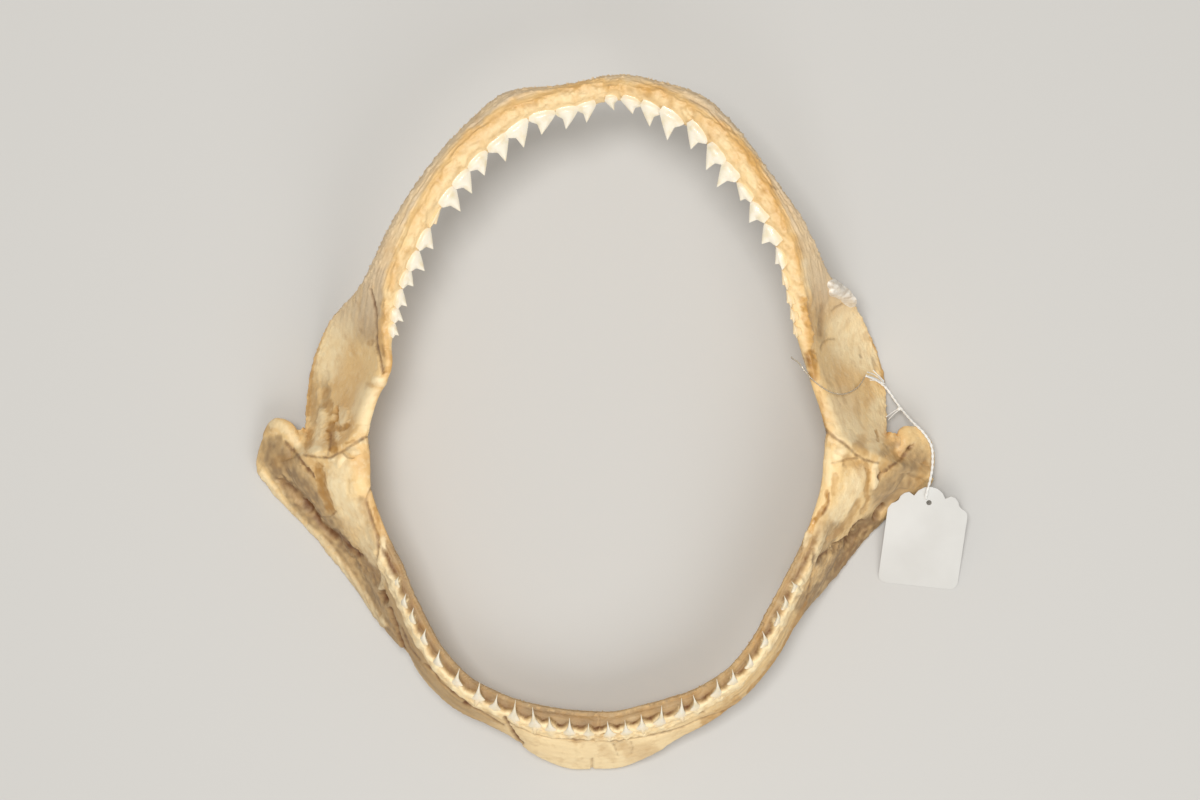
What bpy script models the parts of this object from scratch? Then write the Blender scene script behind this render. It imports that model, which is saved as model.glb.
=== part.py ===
"""A shark's dried jaw, life size, lying on its back with the mouth wide open.

Four cartilages ring the mouth: the two halves of the upper jaw and the two of the lower jaw.
Each half is lofted through named sections, from the front joint of the jaw to its hinge at
the side, and its teeth are set along it in a loop. A paper tag hangs by a doubled thread from
a nylon stitch in the upper jaw's hinge plate. +Z points up out of the mouth, +Y to the top of
the upper jaw. Left and right are as seen from above, looking into the mouth.
"""

import math
import random

import bmesh
import bpy
from mathutils import Vector

MM = 0.001

# The middle of the jaw's outline, taken off every place below, which puts the origin there.
MIDDLE = Vector((-1.8, -12.0, 0.0))

# Clear space between pieces that touch
GAP = 0.3

# Where the halves meet at the front, across the jaw
UPPER_FRONT = 0.8
LOWER_FRONT = -1.2

# Cross-sections between two named ones, and points along one face of a cross-section
RINGS_BETWEEN = 3
MIDDLE_POINTS = 4
END_POINTS = (0.12, 0.5, 1.0)

# How much of each section a crease across its face takes up, and where across it lies
CREASE_WIDTH = 0.09
CREASE_PLACE = 0.74

# How far the wall inside the mouth slopes back under its edge, for each unit of depth
UNDERCUT = 0.1

# Teeth: the upper ones are broad oblique blades and the lower ones narrow erect spikes
WIDEST_TOOTH = 9.6
FIRST_TOOTH_SHARE = 1.5
UPPER_TOOTH_THICK = 2.8
TOOTH_EDGE = 0.5
TOOTH_SINK = 4.0
LOWER_TOOTH_WIDTH = 6.6
LOWER_TOOTH_HEIGHT = 11.5
LOWER_TOOTH_THICK = 2.6
LOWER_TOOTH_LEAN = Vector((0.0, 0.62, 0.72))
LOWER_TOOTH_PLACE = 0.3
TIP_LIFT = 1.2
TEETH_SEED = 7

# Step between the places along a half where a tooth can stand, in sections
PLACE_STEP = 0.02

# Each upper tooth's distance along the edge from the one before, and its height past the edge.
# The ninth on the left is broken off, and those at the back of the right side are worn down.
UPPER_LEFT_TEETH = (
    (6.5, 5.7), (7.3, 6.4), (9.5, 6.5), (11.0, 7.2), (9.0, 7.1),
    (10.1, 5.5), (9.0, 6.3), (8.4, 6.8), (9.3, 1.4), (9.1, 4.5),
    (9.1, 5.1), (7.3, 3.5), (8.5, 3.4), (6.4, 3.3), (5.7, 2.4),
)
UPPER_RIGHT_TEETH = (
    (3.3, 4.0), (8.1, 3.9), (8.0, 6.3), (8.5, 8.4), (11.5, 5.9),
    (10.4, 6.5), (8.1, 7.1), (9.1, 2.8), (8.7, 4.8), (9.6, 4.7),
    (9.7, 2.1), (8.5, 1.2), (7.2, 1.2), (6.4, 1.2), (5.8, 1.2),
)

# Each lower tooth's distance along the top of the bar from the one before
LOWER_LEFT_SPACES = (3.3, 7.4, 7.6, 6.3, 9.0, 8.8, 7.6, 10.7, 10.6, 10.6, 9.3, 6.8, 8.7)
LOWER_RIGHT_SPACES = (4.9, 6.9, 6.5, 7.4, 8.6, 6.9, 10.1, 7.9, 9.3, 10.5, 9.8, 7.0, 7.7)

# The tag: a strung paper label with a stepped top, leaning on the blade of the lower jaw
TAG_WIDTH = 31.8
TAG_HEIGHT = 41.8
TAG_THICK = 0.5
TAG_CORNER = 3.0
TAG_HOLE_DOWN = 6.6
TAG_HOLE_RADIUS = 1.1
TAG_LEAN = math.radians(16)
TAG_TURN = math.radians(-6)
TAG_FOOT = Vector((126.8, -74.2, 0.0))

THREAD_THICK = 1.1
NYLON_THICK = 0.6

CARTILAGE = (0.80, 0.67, 0.46, 1.0)
PAPER = (0.90, 0.90, 0.88, 1.0)
COTTON = (0.86, 0.86, 0.84, 1.0)
NYLON = (0.80, 0.84, 0.88, 1.0)


def section(inner, outer, thick, bow=0.0, crease=0.0):
    """One named cross-section: its inner and outer edge, its thickness at the inner edge,
    middle and outer edge, how far its middle bows up, and how deep its crease is."""
    return inner + outer + thick + (bow, crease)


# Upper jaw, from the front joint along the tooth bar and down the hinge plate to the hinge
UPPER_LEFT = (
    section((UPPER_FRONT, 112.6, 57), (UPPER_FRONT, 122.6, 55), (7, 10, 7)),
    section((-9.4, 109.5, 57), (-12.1, 119.5, 55), (7, 11, 7)),
    section((-24.5, 106.2, 57), (-29.6, 117.8, 54), (7, 12, 8)),
    section((-33.6, 100.7, 57), (-40.5, 113.6, 54), (7, 12, 8)),
    section((-47.5, 88.6, 57), (-57.0, 98.2, 53), (7, 12, 8)),
    section((-59.6, 73.2, 56), (-71.2, 79.8, 52), (7, 12, 8)),
    section((-67.3, 58.6, 55), (-80.6, 64.4, 51), (7, 12, 8)),
    section((-74.2, 43.5, 54), (-87.4, 50.2, 48), (8, 12, 7)),
    section((-77.6, 31.0, 53), (-93.6, 41.8, 38), (9, 9, 5)),
    section((-79.2, 20.6, 52), (-106.2, 31.0, 14), (9, 6, 4), bow=-4),
    section((-79.8, 11.0, 51), (-114.0, 17.0, 1), (9, 5, 3.5), bow=-6),
    section((-84.8, 0.2, 50), (-116.8, 2.0, 0.5), (9, 5.5, 3.5), bow=-6),
    section((-87.2, -7.4, 49), (-117.0, -10.0, 4), (10, 8, 5), bow=-3),
    section((-88.6, -13.8, 49), (-115.8, -21.5, 15), (11, 12, 9)),
)

UPPER_RIGHT = (
    section((UPPER_FRONT, 112.6, 57), (UPPER_FRONT, 122.6, 55), (7, 10, 7)),
    section((7.9, 113.0, 59), (9.8, 122.8, 56), (7, 11, 7)),
    section((22.1, 108.2, 62), (25.3, 119.4, 58), (7, 12, 8)),
    section((34.4, 101.4, 66), (40.5, 112.8, 61), (7, 12, 8)),
    section((44.0, 90.8, 68), (52.9, 99.8, 62), (7, 12, 8)),
    section((51.6, 80.6, 67), (62.6, 86.6, 61), (7, 12, 8)),
    section((60.6, 67.9, 65), (74.2, 71.4, 57), (7, 12, 8)),
    section((66.0, 58.0, 62), (80.0, 61.2, 53), (8, 12, 7)),
    section((69.6, 45.0, 59), (88.6, 46.4, 42), (9, 9, 5)),
    section((72.4, 34.4, 56), (100.4, 36.0, 19), (9, 6, 4), bow=-4),
    section((74.6, 24.4, 54), (109.6, 21.6, 1), (9, 5, 3.5), bow=-6),
    section((78.4, 12.0, 52), (113.4, 8.0, 0.5), (9, 5.5, 3.5), bow=-6),
    section((83.2, -1.8, 50), (113.6, -7.6, 5), (10, 8, 5), bow=-3),
    section((86.3, -12.5, 49), (111.5, -22.5, 17), (11, 12, 9)),
)

# Lower jaw, from the chin along the tooth bar, deepening into the blade behind the hinge
LOWER_LEFT = (
    section((LOWER_FRONT, -121.6, 26), (LOWER_FRONT, -146.9, -0.5), (13, 11, 6)),
    section((-14.0, -120.6, 26), (-13.4, -146.6, -0.5), (13, 11, 6)),
    section((-26.0, -118.4, 27), (-26.0, -140.6, 4), (12, 11, 6)),
    section((-33.4, -116.2, 28), (-35.4, -132.8, 7), (11, 10, 7)),
    section((-41.0, -112.8, 30), (-44.6, -127.8, 8), (10, 10, 7)),
    section((-50.2, -107.4, 33), (-57.4, -121.6, 8), (10, 10, 7)),
    section((-58.6, -98.0, 38), (-68.2, -111.4, 9), (10, 10, 7)),
    section((-64.4, -88.6, 41), (-75.8, -101.0, 8), (10, 9, 6)),
    section((-71.2, -74.2, 44), (-86.4, -89.6, 3), (10, 8, 5)),
    section((-75.6, -62.6, 46), (-95.3, -76.6, -0.5), (10, 7, 4), crease=1.5),
    section((-80.2, -53.4, 47), (-104.4, -65.4, -1), (10, 7, 4), crease=2.5),
    section((-84.6, -42.4, 48), (-117.2, -50.0, -1), (9, 8, 4), bow=2, crease=3.5),
    section((-87.4, -33.0, 49), (-130.4, -36.4, -0.5), (10, 9, 4), bow=2, crease=3.5),
    section((-87.6, -22.4, 49), (-136.2, -29.6, 1), (11, 11, 4), bow=1, crease=3),
    section((-88.6, -13.8, 49), (-136.4, -27.3, 3), (11, 12, 5), crease=1.5),
)

LOWER_RIGHT = (
    section((LOWER_FRONT, -121.6, 26), (LOWER_FRONT, -146.9, -0.5), (13, 11, 6)),
    section((6.4, -121.4, 26), (8.8, -146.2, -0.5), (13, 11, 6)),
    section((17.0, -118.8, 27), (20.3, -140.8, 4), (12, 11, 6)),
    section((27.2, -115.8, 29), (31.8, -133.2, 7), (11, 10, 7)),
    section((37.0, -112.0, 31), (43.8, -126.4, 9), (10, 10, 7)),
    section((49.4, -103.6, 36), (57.6, -115.4, 12), (10, 10, 7)),
    section((58.4, -91.6, 42), (69.0, -100.8, 15), (10, 10, 7)),
    section((64.0, -80.8, 45), (77.4, -87.4, 12), (10, 9, 6)),
    section((70.4, -68.2, 47), (88.4, -75.6, 4), (10, 8, 5)),
    section((74.2, -60.6, 48), (97.8, -66.0, -0.5), (10, 7, 4), crease=1.5),
    section((78.4, -51.2, 49), (109.0, -52.6, -1), (10, 7, 4), crease=2.5),
    section((82.2, -40.2, 49), (122.0, -40.4, -1), (9, 8, 4), bow=2, crease=3.5),
    section((84.4, -31.4, 49), (128.4, -37.4, -0.5), (10, 9, 4), bow=2, crease=3.5),
    section((85.2, -22.6, 49), (131.6, -34.4, 0.5), (11, 11, 4), bow=1, crease=3),
    section((86.3, -12.5, 49), (133.0, -31.0, 4), (11, 12, 5), crease=1.5),
)

# The lobe that stands out behind each hinge, rooted in the end of the lower jaw's blade
LOBE_LEFT = (
    section((-113.0, -33.0, 19), (-131.0, -35.0, 2.5), (5, 5, 3)),
    section((-119.0, -23.0, 18), (-136.4, -26.4, 3.5), (7, 7, 4.5)),
    section((-118.4, -14.6, 17), (-134.0, -15.4, 5), (8, 7.5, 5)),
    section((-121.0, -9.6, 15), (-131.2, -9.6, 8), (7, 6, 4)),
    section((-124.6, -7.4, 13.5), (-128.0, -7.2, 11), (2.5, 2.5, 2)),
)
LOBE_RIGHT = (
    section((112.0, -34.0, 19), (129.0, -36.0, 2.5), (5, 5, 3)),
    section((114.6, -25.0, 18), (132.8, -27.0, 3.5), (7, 7, 4.5)),
    section((116.4, -17.0, 17), (132.0, -18.0, 6), (8, 7.5, 5)),
    section((117.6, -12.2, 15), (129.0, -13.0, 8.5), (7, 6, 4)),
    section((120.4, -10.2, 14), (125.2, -10.4, 11), (2.5, 2.5, 2)),
)

# The thread, from the stitch over the hinge plate's edge and the lobe to the hole in the tag,
# and the nylon stitch, from the knot across the plate and over its inner edge
THREAD_ROUTE = (
    (105.0, 9.6, 13.2),
    (109.4, 8.0, 8.6),
    (114.0, 4.8, 4.4),
    (118.6, -2.0, 6.2),
    (123.2, -8.2, 11.4),
    (127.6, -12.8, 14.2),
    (131.0, -18.2, 12.6),
    (131.6, -25.4, 11.0),
    (130.6, -31.4, 11.8),
    (129.4, -35.4, 12.8),
    (128.8, -39.0, 11.8),
)
NYLON_ROUTE = (
    (104.4, 9.0, 13.8),
    (101.0, 5.0, 21.2),
    (94.6, 2.4, 35.4),
    (88.0, 3.0, 48.8),
    (82.0, 6.6, 53.2),
    (78.2, 10.6, 52.8),
    (75.4, 14.2, 52.0),
    (73.4, 15.8, 49.0),
    (73.2, 16.4, 46.8),
)


def clear_scene():
    for thing in list(bpy.data.objects):
        bpy.data.objects.remove(thing, do_unlink=True)


def finish(name, colour, roughness):
    """A plain surface finish of one colour."""
    material = bpy.data.materials.new(name)
    material.use_nodes = True
    shader = material.node_tree.nodes["Principled BSDF"]
    shader.inputs["Base Color"].default_value = colour
    shader.inputs["Roughness"].default_value = roughness
    shader.inputs["Metallic"].default_value = 0.0
    return material


def new_object(name, mesh, material):
    body = bpy.data.objects.new(name, mesh)
    bpy.context.scene.collection.objects.link(body)
    mesh.materials.append(material)
    return body


def through(rows, place):
    """A smooth curve through rows of numbers, read at a place counted in rows."""
    first = min(int(place), len(rows) - 2)
    t = place - first
    before = rows[max(first - 1, 0)]
    after = rows[min(first + 2, len(rows) - 1)]
    result = []
    for a, b, c, d in zip(before, rows[first], rows[first + 1], after):
        slope_in = (c - a) / 2
        slope_out = (d - b) / 2
        rise = c - b
        cubic = slope_in + slope_out - 2 * rise
        square = 3 * rise - 2 * slope_in - slope_out
        result.append(b + t * (slope_in + t * (square + t * cubic)))
    return result


def read_section(rows, place):
    """The sizes of the cross-section at a place, as named values."""
    values = through(rows, place)
    inner = Vector(values[0:3])
    outer = Vector(values[3:6])
    return inner, outer, values[6:9], values[9], values[10]


def thickness(thick, s):
    """The thickness at a place across a section, from its inner edge, middle and outer edge."""
    near, middle, far = thick
    return near * (1 - s) * (1 - 2 * s) + 4 * middle * s * (1 - s) + far * s * (2 * s - 1)


def places_across(inner_round, outer_round):
    """Places across a section, closer together where its two edges are rounded."""
    near = [inner_round * share for share in END_POINTS]
    far = [1 - outer_round * share for share in reversed(END_POINTS)]
    step = (far[0] - near[-1]) / (MIDDLE_POINTS + 1)
    middle = [near[-1] + step * (i + 1) for i in range(MIDDLE_POINTS)]
    return near + middle + far


def ring(rows, place):
    """The outline of a section: inner edge, camera side, outer edge and floor side."""
    inner, outer, thick, bow, crease = read_section(rows, place)
    flat = Vector((outer.x - inner.x, outer.y - inner.y, 0.0))
    outward = flat.normalized()
    width = (outer - inner).length
    inner_round = min(0.34, 0.5 * thick[0] / width)
    outer_round = min(0.30, 0.5 * thick[2] / width)
    slope = outer.z - inner.z
    upper = []
    lower = []
    for s in places_across(inner_round, outer_round):
        middle = inner.lerp(outer, s)
        middle.z += 4 * bow * s * (1 - s)
        fall = slope + 4 * bow * (1 - 2 * s)
        normal = (outward * -fall + Vector((0, 0, flat.length))).normalized()
        half = thickness(thick, s) / 2
        half *= rounded(s, inner_round) * rounded(1 - s, outer_round)
        dip = crease * math.exp(-(((s - CREASE_PLACE) / CREASE_WIDTH) ** 2))
        upper.append(middle + normal * (half - dip))
        lower.append(middle - normal * half)
    points = [inner] + upper + [outer] + lower[::-1]
    for point in points:
        out = (point - inner).dot(outward)
        least = UNDERCUT * max(inner.z - point.z, 0.0)
        point += outward * (min(max(out, least), flat.length) - out)
        point.z = max(point.z, 0.0)
    return points


def rounded(distance, reach):
    """The share of its full thickness that a section has this close to its edge."""
    if distance >= reach:
        return 1.0
    return math.sqrt(1 - (1 - distance / reach) ** 2)


def cap(bm, verts):
    """Closes an end with strips between the camera side and the floor side."""
    count = len(verts) // 2 - 1
    upper = verts[1:count + 1]
    lower = verts[:count + 1:-1]
    for i in range(count - 1):
        bm.faces.new((upper[i], upper[i + 1], lower[i + 1], lower[i]))
    bm.faces.new((verts[0], upper[0], lower[0]))
    bm.faces.new((upper[-1], verts[count + 1], lower[-1]))


def loft(rings):
    """A closed body through a row of rings, by extruding the first ring along the others."""
    bm = bmesh.new()
    verts = [bm.verts.new(point) for point in rings[0]]
    edges = [bm.edges.new((a, b)) for a, b in zip(verts, verts[1:] + verts[:1])]
    cap(bm, verts)
    for points in rings[1:]:
        made = bmesh.ops.extrude_edge_only(bm, edges=edges)["geom"]
        fresh = {item for item in made if isinstance(item, bmesh.types.BMVert)}
        edges = [item for item in made if isinstance(item, bmesh.types.BMEdge)]
        edges = [edge for edge in edges if edge.verts[0] in fresh and edge.verts[1] in fresh]
        following = []
        for vert, point in zip(verts, points):
            partner = next(e.other_vert(vert) for e in vert.link_edges if e.other_vert(vert) in fresh)
            partner.co = point
            following.append(partner)
        verts = following
    cap(bm, verts)
    bmesh.ops.recalc_face_normals(bm, faces=bm.faces)
    return bm


def all_rings(rows):
    count = (len(rows) - 1) * RINGS_BETWEEN
    return [ring(rows, i / RINGS_BETWEEN) for i in range(count + 1)]


def half_rings(rows, side, hinge_shift):
    """The rings of one half, with clear space kept at its front joint and at the hinge."""
    rings = all_rings(rows)
    for point in rings[0]:
        point.x += side * GAP / 2
    for point in rings[-1]:
        point.y += hinge_shift
    return rings


def blade_tooth(foot, along, inward, height, width, thick):
    """A flat, pointed upper tooth: an oblique blade with a notched heel on its hinge side."""
    sink = TOOTH_SINK / height
    outline = (
        (-0.58, -sink),
        (-0.56, 0.04),
        (-0.28, 0.52),
        (0.00, 1.00),
        (0.06, 0.66),
        (0.14, 0.40),
        (0.42, 0.06),
        (0.44, -sink),
    )
    bm = bmesh.new()
    face = Vector((0, 0, 1))
    sides = []
    for side in (1, -1):
        rim = []
        for a, b in outline:
            point = foot + along * (a * width) + inward * (b * height)
            rim.append(bm.verts.new(point + face * (side * TOOTH_EDGE / 2)))
        middle = foot - along * (0.1 * width) + inward * (0.12 * height)
        crown = bm.verts.new(middle + face * (side * thick / 2))
        sides.append(rim)
        for a, b in zip(rim, rim[1:] + rim[:1]):
            bm.faces.new((a, b, crown))
    front, back = sides
    for i in range(len(front)):
        j = (i + 1) % len(front)
        bm.faces.new((front[i], front[j], back[j], back[i]))
    bmesh.ops.recalc_face_normals(bm, faces=bm.faces)
    return bm


def spike_tooth(base, tip, face, width, thick):
    """A narrow lower tooth: a straight spike on a broad root."""
    levels = ((-0.34, 1.0, 1.0), (0.08, 0.84, 0.95), (0.30, 0.32, 0.62), (0.68, 0.18, 0.36))
    sides = 6
    rise = tip - base
    across = face.cross(rise).normalized()
    bm = bmesh.new()
    previous = None
    for share, wide, deep in levels:
        level = []
        for i in range(sides):
            angle = math.tau * i / sides
            point = base + rise * share + across * (math.cos(angle) * wide * width / 2)
            level.append(bm.verts.new(point + face * (math.sin(angle) * deep * thick / 2)))
        if previous:
            for i in range(sides):
                j = (i + 1) % sides
                bm.faces.new((previous[i], previous[j], level[j], level[i]))
        else:
            bm.faces.new(level[::-1])
        previous = level
    peak = bm.verts.new(tip)
    for a, b in zip(previous, previous[1:] + previous[:1]):
        bm.faces.new((a, b, peak))
    bmesh.ops.recalc_face_normals(bm, faces=bm.faces)
    return bm


def on_face(rows, place, across):
    """A point on the camera side of a section, and the level direction out to its outer edge."""
    inner, outer, thick, bow, _ = read_section(rows, place)
    flat = Vector((outer.x - inner.x, outer.y - inner.y, 0.0))
    outward = flat.normalized()
    fall = outer.z - inner.z + 4 * bow * (1 - 2 * across)
    normal = (outward * -fall + Vector((0, 0, flat.length))).normalized()
    point = inner.lerp(outer, across)
    point.z += 4 * bow * across * (1 - across)
    return point + normal * (thickness(thick, across) / 2), outward


def inner_edge(rows, place):
    return read_section(rows, place)[0]


def tooth_line(rows, place):
    return on_face(rows, place, LOWER_TOOTH_PLACE)[0]


def walk(line, rows, spaces):
    """Places along a line of a half, each at its own distance from the one before."""
    places = []
    place = 0.0
    spot = line(rows, place).xy
    for space in spaces:
        moved = 0.0
        while moved < space:
            place += PLACE_STEP
            ahead = line(rows, place).xy
            moved += (ahead - spot).length
            spot = ahead
        places.append(place)
    return places


def upper_teeth(rows, sizes, draw):
    """Blades along the inner edge, each as wide as the space to its neighbours."""
    spaces = [space for space, height in sizes]
    spaces.append(spaces[-1])
    teeth = []
    for i, place in enumerate(walk(inner_edge, rows, spaces[:-1])):
        foot = inner_edge(rows, place)
        along = inner_edge(rows, place + PLACE_STEP) - foot
        along = Vector((along.x, along.y, 0)).normalized()
        inward = -on_face(rows, place, 0.0)[1]
        inward = (inward - along * inward.dot(along)).normalized()
        width = min((spaces[max(i, 1)] + spaces[i + 1]) / 2, WIDEST_TOOTH)
        if i == 0:
            width = min(width, FIRST_TOOTH_SHARE * spaces[0])
        thick = UPPER_TOOTH_THICK * draw.uniform(0.85, 1.0)
        foot.z += TIP_LIFT
        teeth.append(blade_tooth(foot, along, inward, sizes[i][1], width, thick))
    return teeth


def lower_teeth(rows, spaces, draw):
    """Spikes along the top of the bar, smaller at the front joint and the hinge end."""
    teeth = []
    for i, place in enumerate(walk(tooth_line, rows, spaces)):
        share = i / (len(spaces) - 1)
        size = (0.7 + 0.3 * min(i / 3, 1.0)) * (1 - 0.5 * share ** 2.2)
        size *= draw.uniform(0.94, 1.06)
        base, outward = on_face(rows, place, LOWER_TOOTH_PLACE)
        sway = Vector((draw.uniform(-0.06, 0.06), 0, 0))
        rise = (LOWER_TOOTH_LEAN - outward * 0.26 + sway).normalized()
        face = (outward - rise * outward.dot(rise)).normalized()
        teeth.append(spike_tooth(base, base + rise * (LOWER_TOOTH_HEIGHT * size), face,
                                 LOWER_TOOTH_WIDTH * (0.5 + 0.5 * size),
                                 LOWER_TOOTH_THICK * (0.4 + 0.6 * size)))
    return teeth


def keep_largest(mesh):
    """Drops every loose shell but the largest, so that the body stays one."""
    bm = bmesh.new()
    bm.from_mesh(mesh)
    left = set(bm.faces)
    shells = []
    while left:
        shell = set()
        waiting = [left.pop()]
        while waiting:
            face = waiting.pop()
            shell.add(face)
            for edge in face.edges:
                for other in edge.link_faces:
                    if other in left:
                        left.discard(other)
                        waiting.append(other)
        shells.append(shell)
    shells.sort(key=len)
    scraps = [face for shell in shells[:-1] for face in shell]
    bmesh.ops.delete(bm, geom=scraps, context="FACES")
    bm.to_mesh(mesh)
    bm.free()


def to_mesh(bm, name):
    """A mesh in metres, moved so that the middle of the jaw's outline is at the origin."""
    for vert in bm.verts:
        vert.co = (vert.co - MIDDLE) * MM
    mesh = bpy.data.meshes.new(name)
    bm.to_mesh(mesh)
    bm.free()
    return mesh


def fuse(name, cartilage, grown, material):
    """One body of a cartilage and what grows from it, its teeth and its lobe."""
    body = new_object(name, to_mesh(cartilage, name), material)
    roots = bpy.data.collections.new(name + "_grown")
    for i, piece in enumerate(grown):
        mesh = to_mesh(piece, f"{name}_grown_{i}")
        roots.objects.link(bpy.data.objects.new(mesh.name, mesh))
    union = body.modifiers.new("grown", "BOOLEAN")
    union.operation = "UNION"
    union.operand_type = "COLLECTION"
    union.collection = roots
    union.solver = "EXACT"
    depsgraph = bpy.context.evaluated_depsgraph_get()
    joined = bpy.data.meshes.new_from_object(body.evaluated_get(depsgraph))
    body.modifiers.clear()
    body.data = joined
    joined.name = name
    for piece in list(roots.objects):
        bpy.data.objects.remove(piece, do_unlink=True)
    bpy.data.collections.remove(roots)
    keep_largest(joined)
    joined.shade_smooth()
    joined.set_sharp_from_angle(angle=math.radians(40))
    return body


def tag_outline():
    """The label's outline: square foot with round corners and a top in three rounded steps."""
    half = TAG_WIDTH / 2
    points = []
    for corner_x, start in ((-half + TAG_CORNER, math.pi), (half - TAG_CORNER, 1.5 * math.pi)):
        for i in range(4):
            angle = start + math.pi / 2 * i / 3
            centre = Vector((corner_x, TAG_CORNER))
            points.append(centre + TAG_CORNER * Vector((math.cos(angle), math.sin(angle))))
    right = []
    for centre_x, centre_y, radius, start, end in (
        (half - 3.2, TAG_HEIGHT - 11.0, 3.2, 0, 80),
        (half - 8.0, TAG_HEIGHT - 7.2, 4.2, 6, 84),
        (0.0, TAG_HEIGHT - 6.6, 6.6, 20, 90),
    ):
        for i in range(4):
            angle = math.radians(start + (end - start) * i / 3)
            right.append(Vector((centre_x + radius * math.cos(angle), centre_y + radius * math.sin(angle))))
    mirrored = [Vector((-p.x, p.y)) for p in reversed(right[:-1])]
    return points + right + mirrored


def make_tag(material):
    """The label, punched for its thread, laid back from its foot on the floor."""
    bm = bmesh.new()
    outline = [bm.verts.new((p.x, p.y, 0.0)) for p in tag_outline()]
    edges = [bm.edges.new((a, b)) for a, b in zip(outline, outline[1:] + outline[:1])]
    hole_y = TAG_HEIGHT - TAG_HOLE_DOWN
    hole = [
        bm.verts.new((
            TAG_HOLE_RADIUS * math.cos(math.tau * i / 10),
            hole_y + TAG_HOLE_RADIUS * math.sin(math.tau * i / 10),
            0.0,
        ))
        for i in range(10)
    ]
    edges += [bm.edges.new((a, b)) for a, b in zip(hole, hole[1:] + hole[:1])]
    bmesh.ops.triangle_fill(bm, edges=edges, use_beauty=True, use_dissolve=False)
    sheet = list(bm.faces)
    made = bmesh.ops.extrude_face_region(bm, geom=sheet)["geom"]
    raised = [item for item in made if isinstance(item, bmesh.types.BMVert)]
    bmesh.ops.translate(bm, vec=(0, 0, TAG_THICK), verts=raised)
    bmesh.ops.recalc_face_normals(bm, faces=bm.faces)
    for vert in bm.verts:
        x, y, z = vert.co
        up = y * math.sin(TAG_LEAN) + z * math.cos(TAG_LEAN)
        y = y * math.cos(TAG_LEAN) - z * math.sin(TAG_LEAN)
        turned = Vector((x * math.cos(TAG_TURN) - y * math.sin(TAG_TURN),
                         x * math.sin(TAG_TURN) + y * math.cos(TAG_TURN), up))
        vert.co = TAG_FOOT + turned
    mesh = to_mesh(bm, "tag")
    return new_object("tag", mesh, material)


def make_cord(name, route, thick, material):
    """A thin round line along a smooth curve through its route."""
    steps = 6
    points = [through(route, i / steps) for i in range((len(route) - 1) * steps + 1)]
    curve = bpy.data.curves.new(name, "CURVE")
    curve.dimensions = "3D"
    curve.bevel_depth = thick / 2 * MM
    curve.bevel_resolution = 2
    curve.use_fill_caps = True
    line = curve.splines.new("POLY")
    line.points.add(len(points) - 1)
    for knot, point in zip(line.points, points):
        knot.co = (*((Vector(point) - MIDDLE) * MM), 1.0)
    return new_object(name, curve, material)


def build():
    clear_scene()
    draw = random.Random(TEETH_SEED)
    cartilage = finish("dried_cartilage", CARTILAGE, 0.6)
    paper = finish("paper", PAPER, 0.85)
    cotton = finish("cotton_thread", COTTON, 0.8)
    nylon = finish("clear_nylon", NYLON, 0.25)

    hinge = GAP / 2
    fuse("upper_jaw_left", loft(half_rings(UPPER_LEFT, -1, hinge)),
         upper_teeth(UPPER_LEFT, UPPER_LEFT_TEETH, draw), cartilage)
    fuse("upper_jaw_right", loft(half_rings(UPPER_RIGHT, 1, hinge)),
         upper_teeth(UPPER_RIGHT, UPPER_RIGHT_TEETH, draw), cartilage)
    fuse("lower_jaw_left", loft(half_rings(LOWER_LEFT, -1, -hinge)),
         lower_teeth(LOWER_LEFT, LOWER_LEFT_SPACES, draw) + [loft(all_rings(LOBE_LEFT))], cartilage)
    fuse("lower_jaw_right", loft(half_rings(LOWER_RIGHT, 1, -hinge)),
         lower_teeth(LOWER_RIGHT, LOWER_RIGHT_SPACES, draw) + [loft(all_rings(LOBE_RIGHT))], cartilage)

    make_tag(paper)
    make_cord("tag_string", THREAD_ROUTE, THREAD_THICK, cotton)
    make_cord("nylon_stitch", NYLON_ROUTE, NYLON_THICK, nylon)


build()
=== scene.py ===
import math
import random

import bmesh
import bpy
import numpy as np
from mathutils import Matrix, Vector
from mathutils.bvhtree import BVHTree
from mathutils.kdtree import KDTree


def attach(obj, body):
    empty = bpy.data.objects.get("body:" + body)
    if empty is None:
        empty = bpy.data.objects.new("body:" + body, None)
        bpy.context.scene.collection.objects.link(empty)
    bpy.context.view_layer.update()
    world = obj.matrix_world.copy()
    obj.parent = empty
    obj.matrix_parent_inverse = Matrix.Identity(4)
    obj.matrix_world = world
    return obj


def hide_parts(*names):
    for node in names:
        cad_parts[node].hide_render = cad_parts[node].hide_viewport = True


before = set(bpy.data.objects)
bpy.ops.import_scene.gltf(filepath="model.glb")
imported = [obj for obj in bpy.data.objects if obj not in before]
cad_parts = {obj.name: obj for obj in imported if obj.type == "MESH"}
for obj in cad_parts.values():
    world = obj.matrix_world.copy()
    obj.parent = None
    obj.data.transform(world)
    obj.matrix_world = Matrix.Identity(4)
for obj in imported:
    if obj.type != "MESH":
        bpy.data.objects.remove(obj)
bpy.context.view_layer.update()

# Camera
# The photograph looks straight down on the jaw from a little over a metre, and so does this.
# Places here are in millimetres on a sheet under the photograph's middle, as in the CAD.
MM = 0.001
MIDDLE = np.array((-1.8, -12.0, 0.0))
UP = Vector((0, 0, 1))
CAMERA_HEIGHT = 1050.0
SENSOR_WIDTH = 36.0
LENS_PIXELS = 2625.0
PHOTO_WIDTH = 1200
PHOTO_MIDDLE = np.array((600.0, 400.0))


def metres(point):
    """A place on the sheet, in the model's own metres."""
    return Vector([float(v) for v in (np.array(point) - MIDDLE) * MM])


def add_object(name, data):
    made = bpy.data.objects.new(name, data)
    bpy.context.scene.collection.objects.link(made)
    return made


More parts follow.
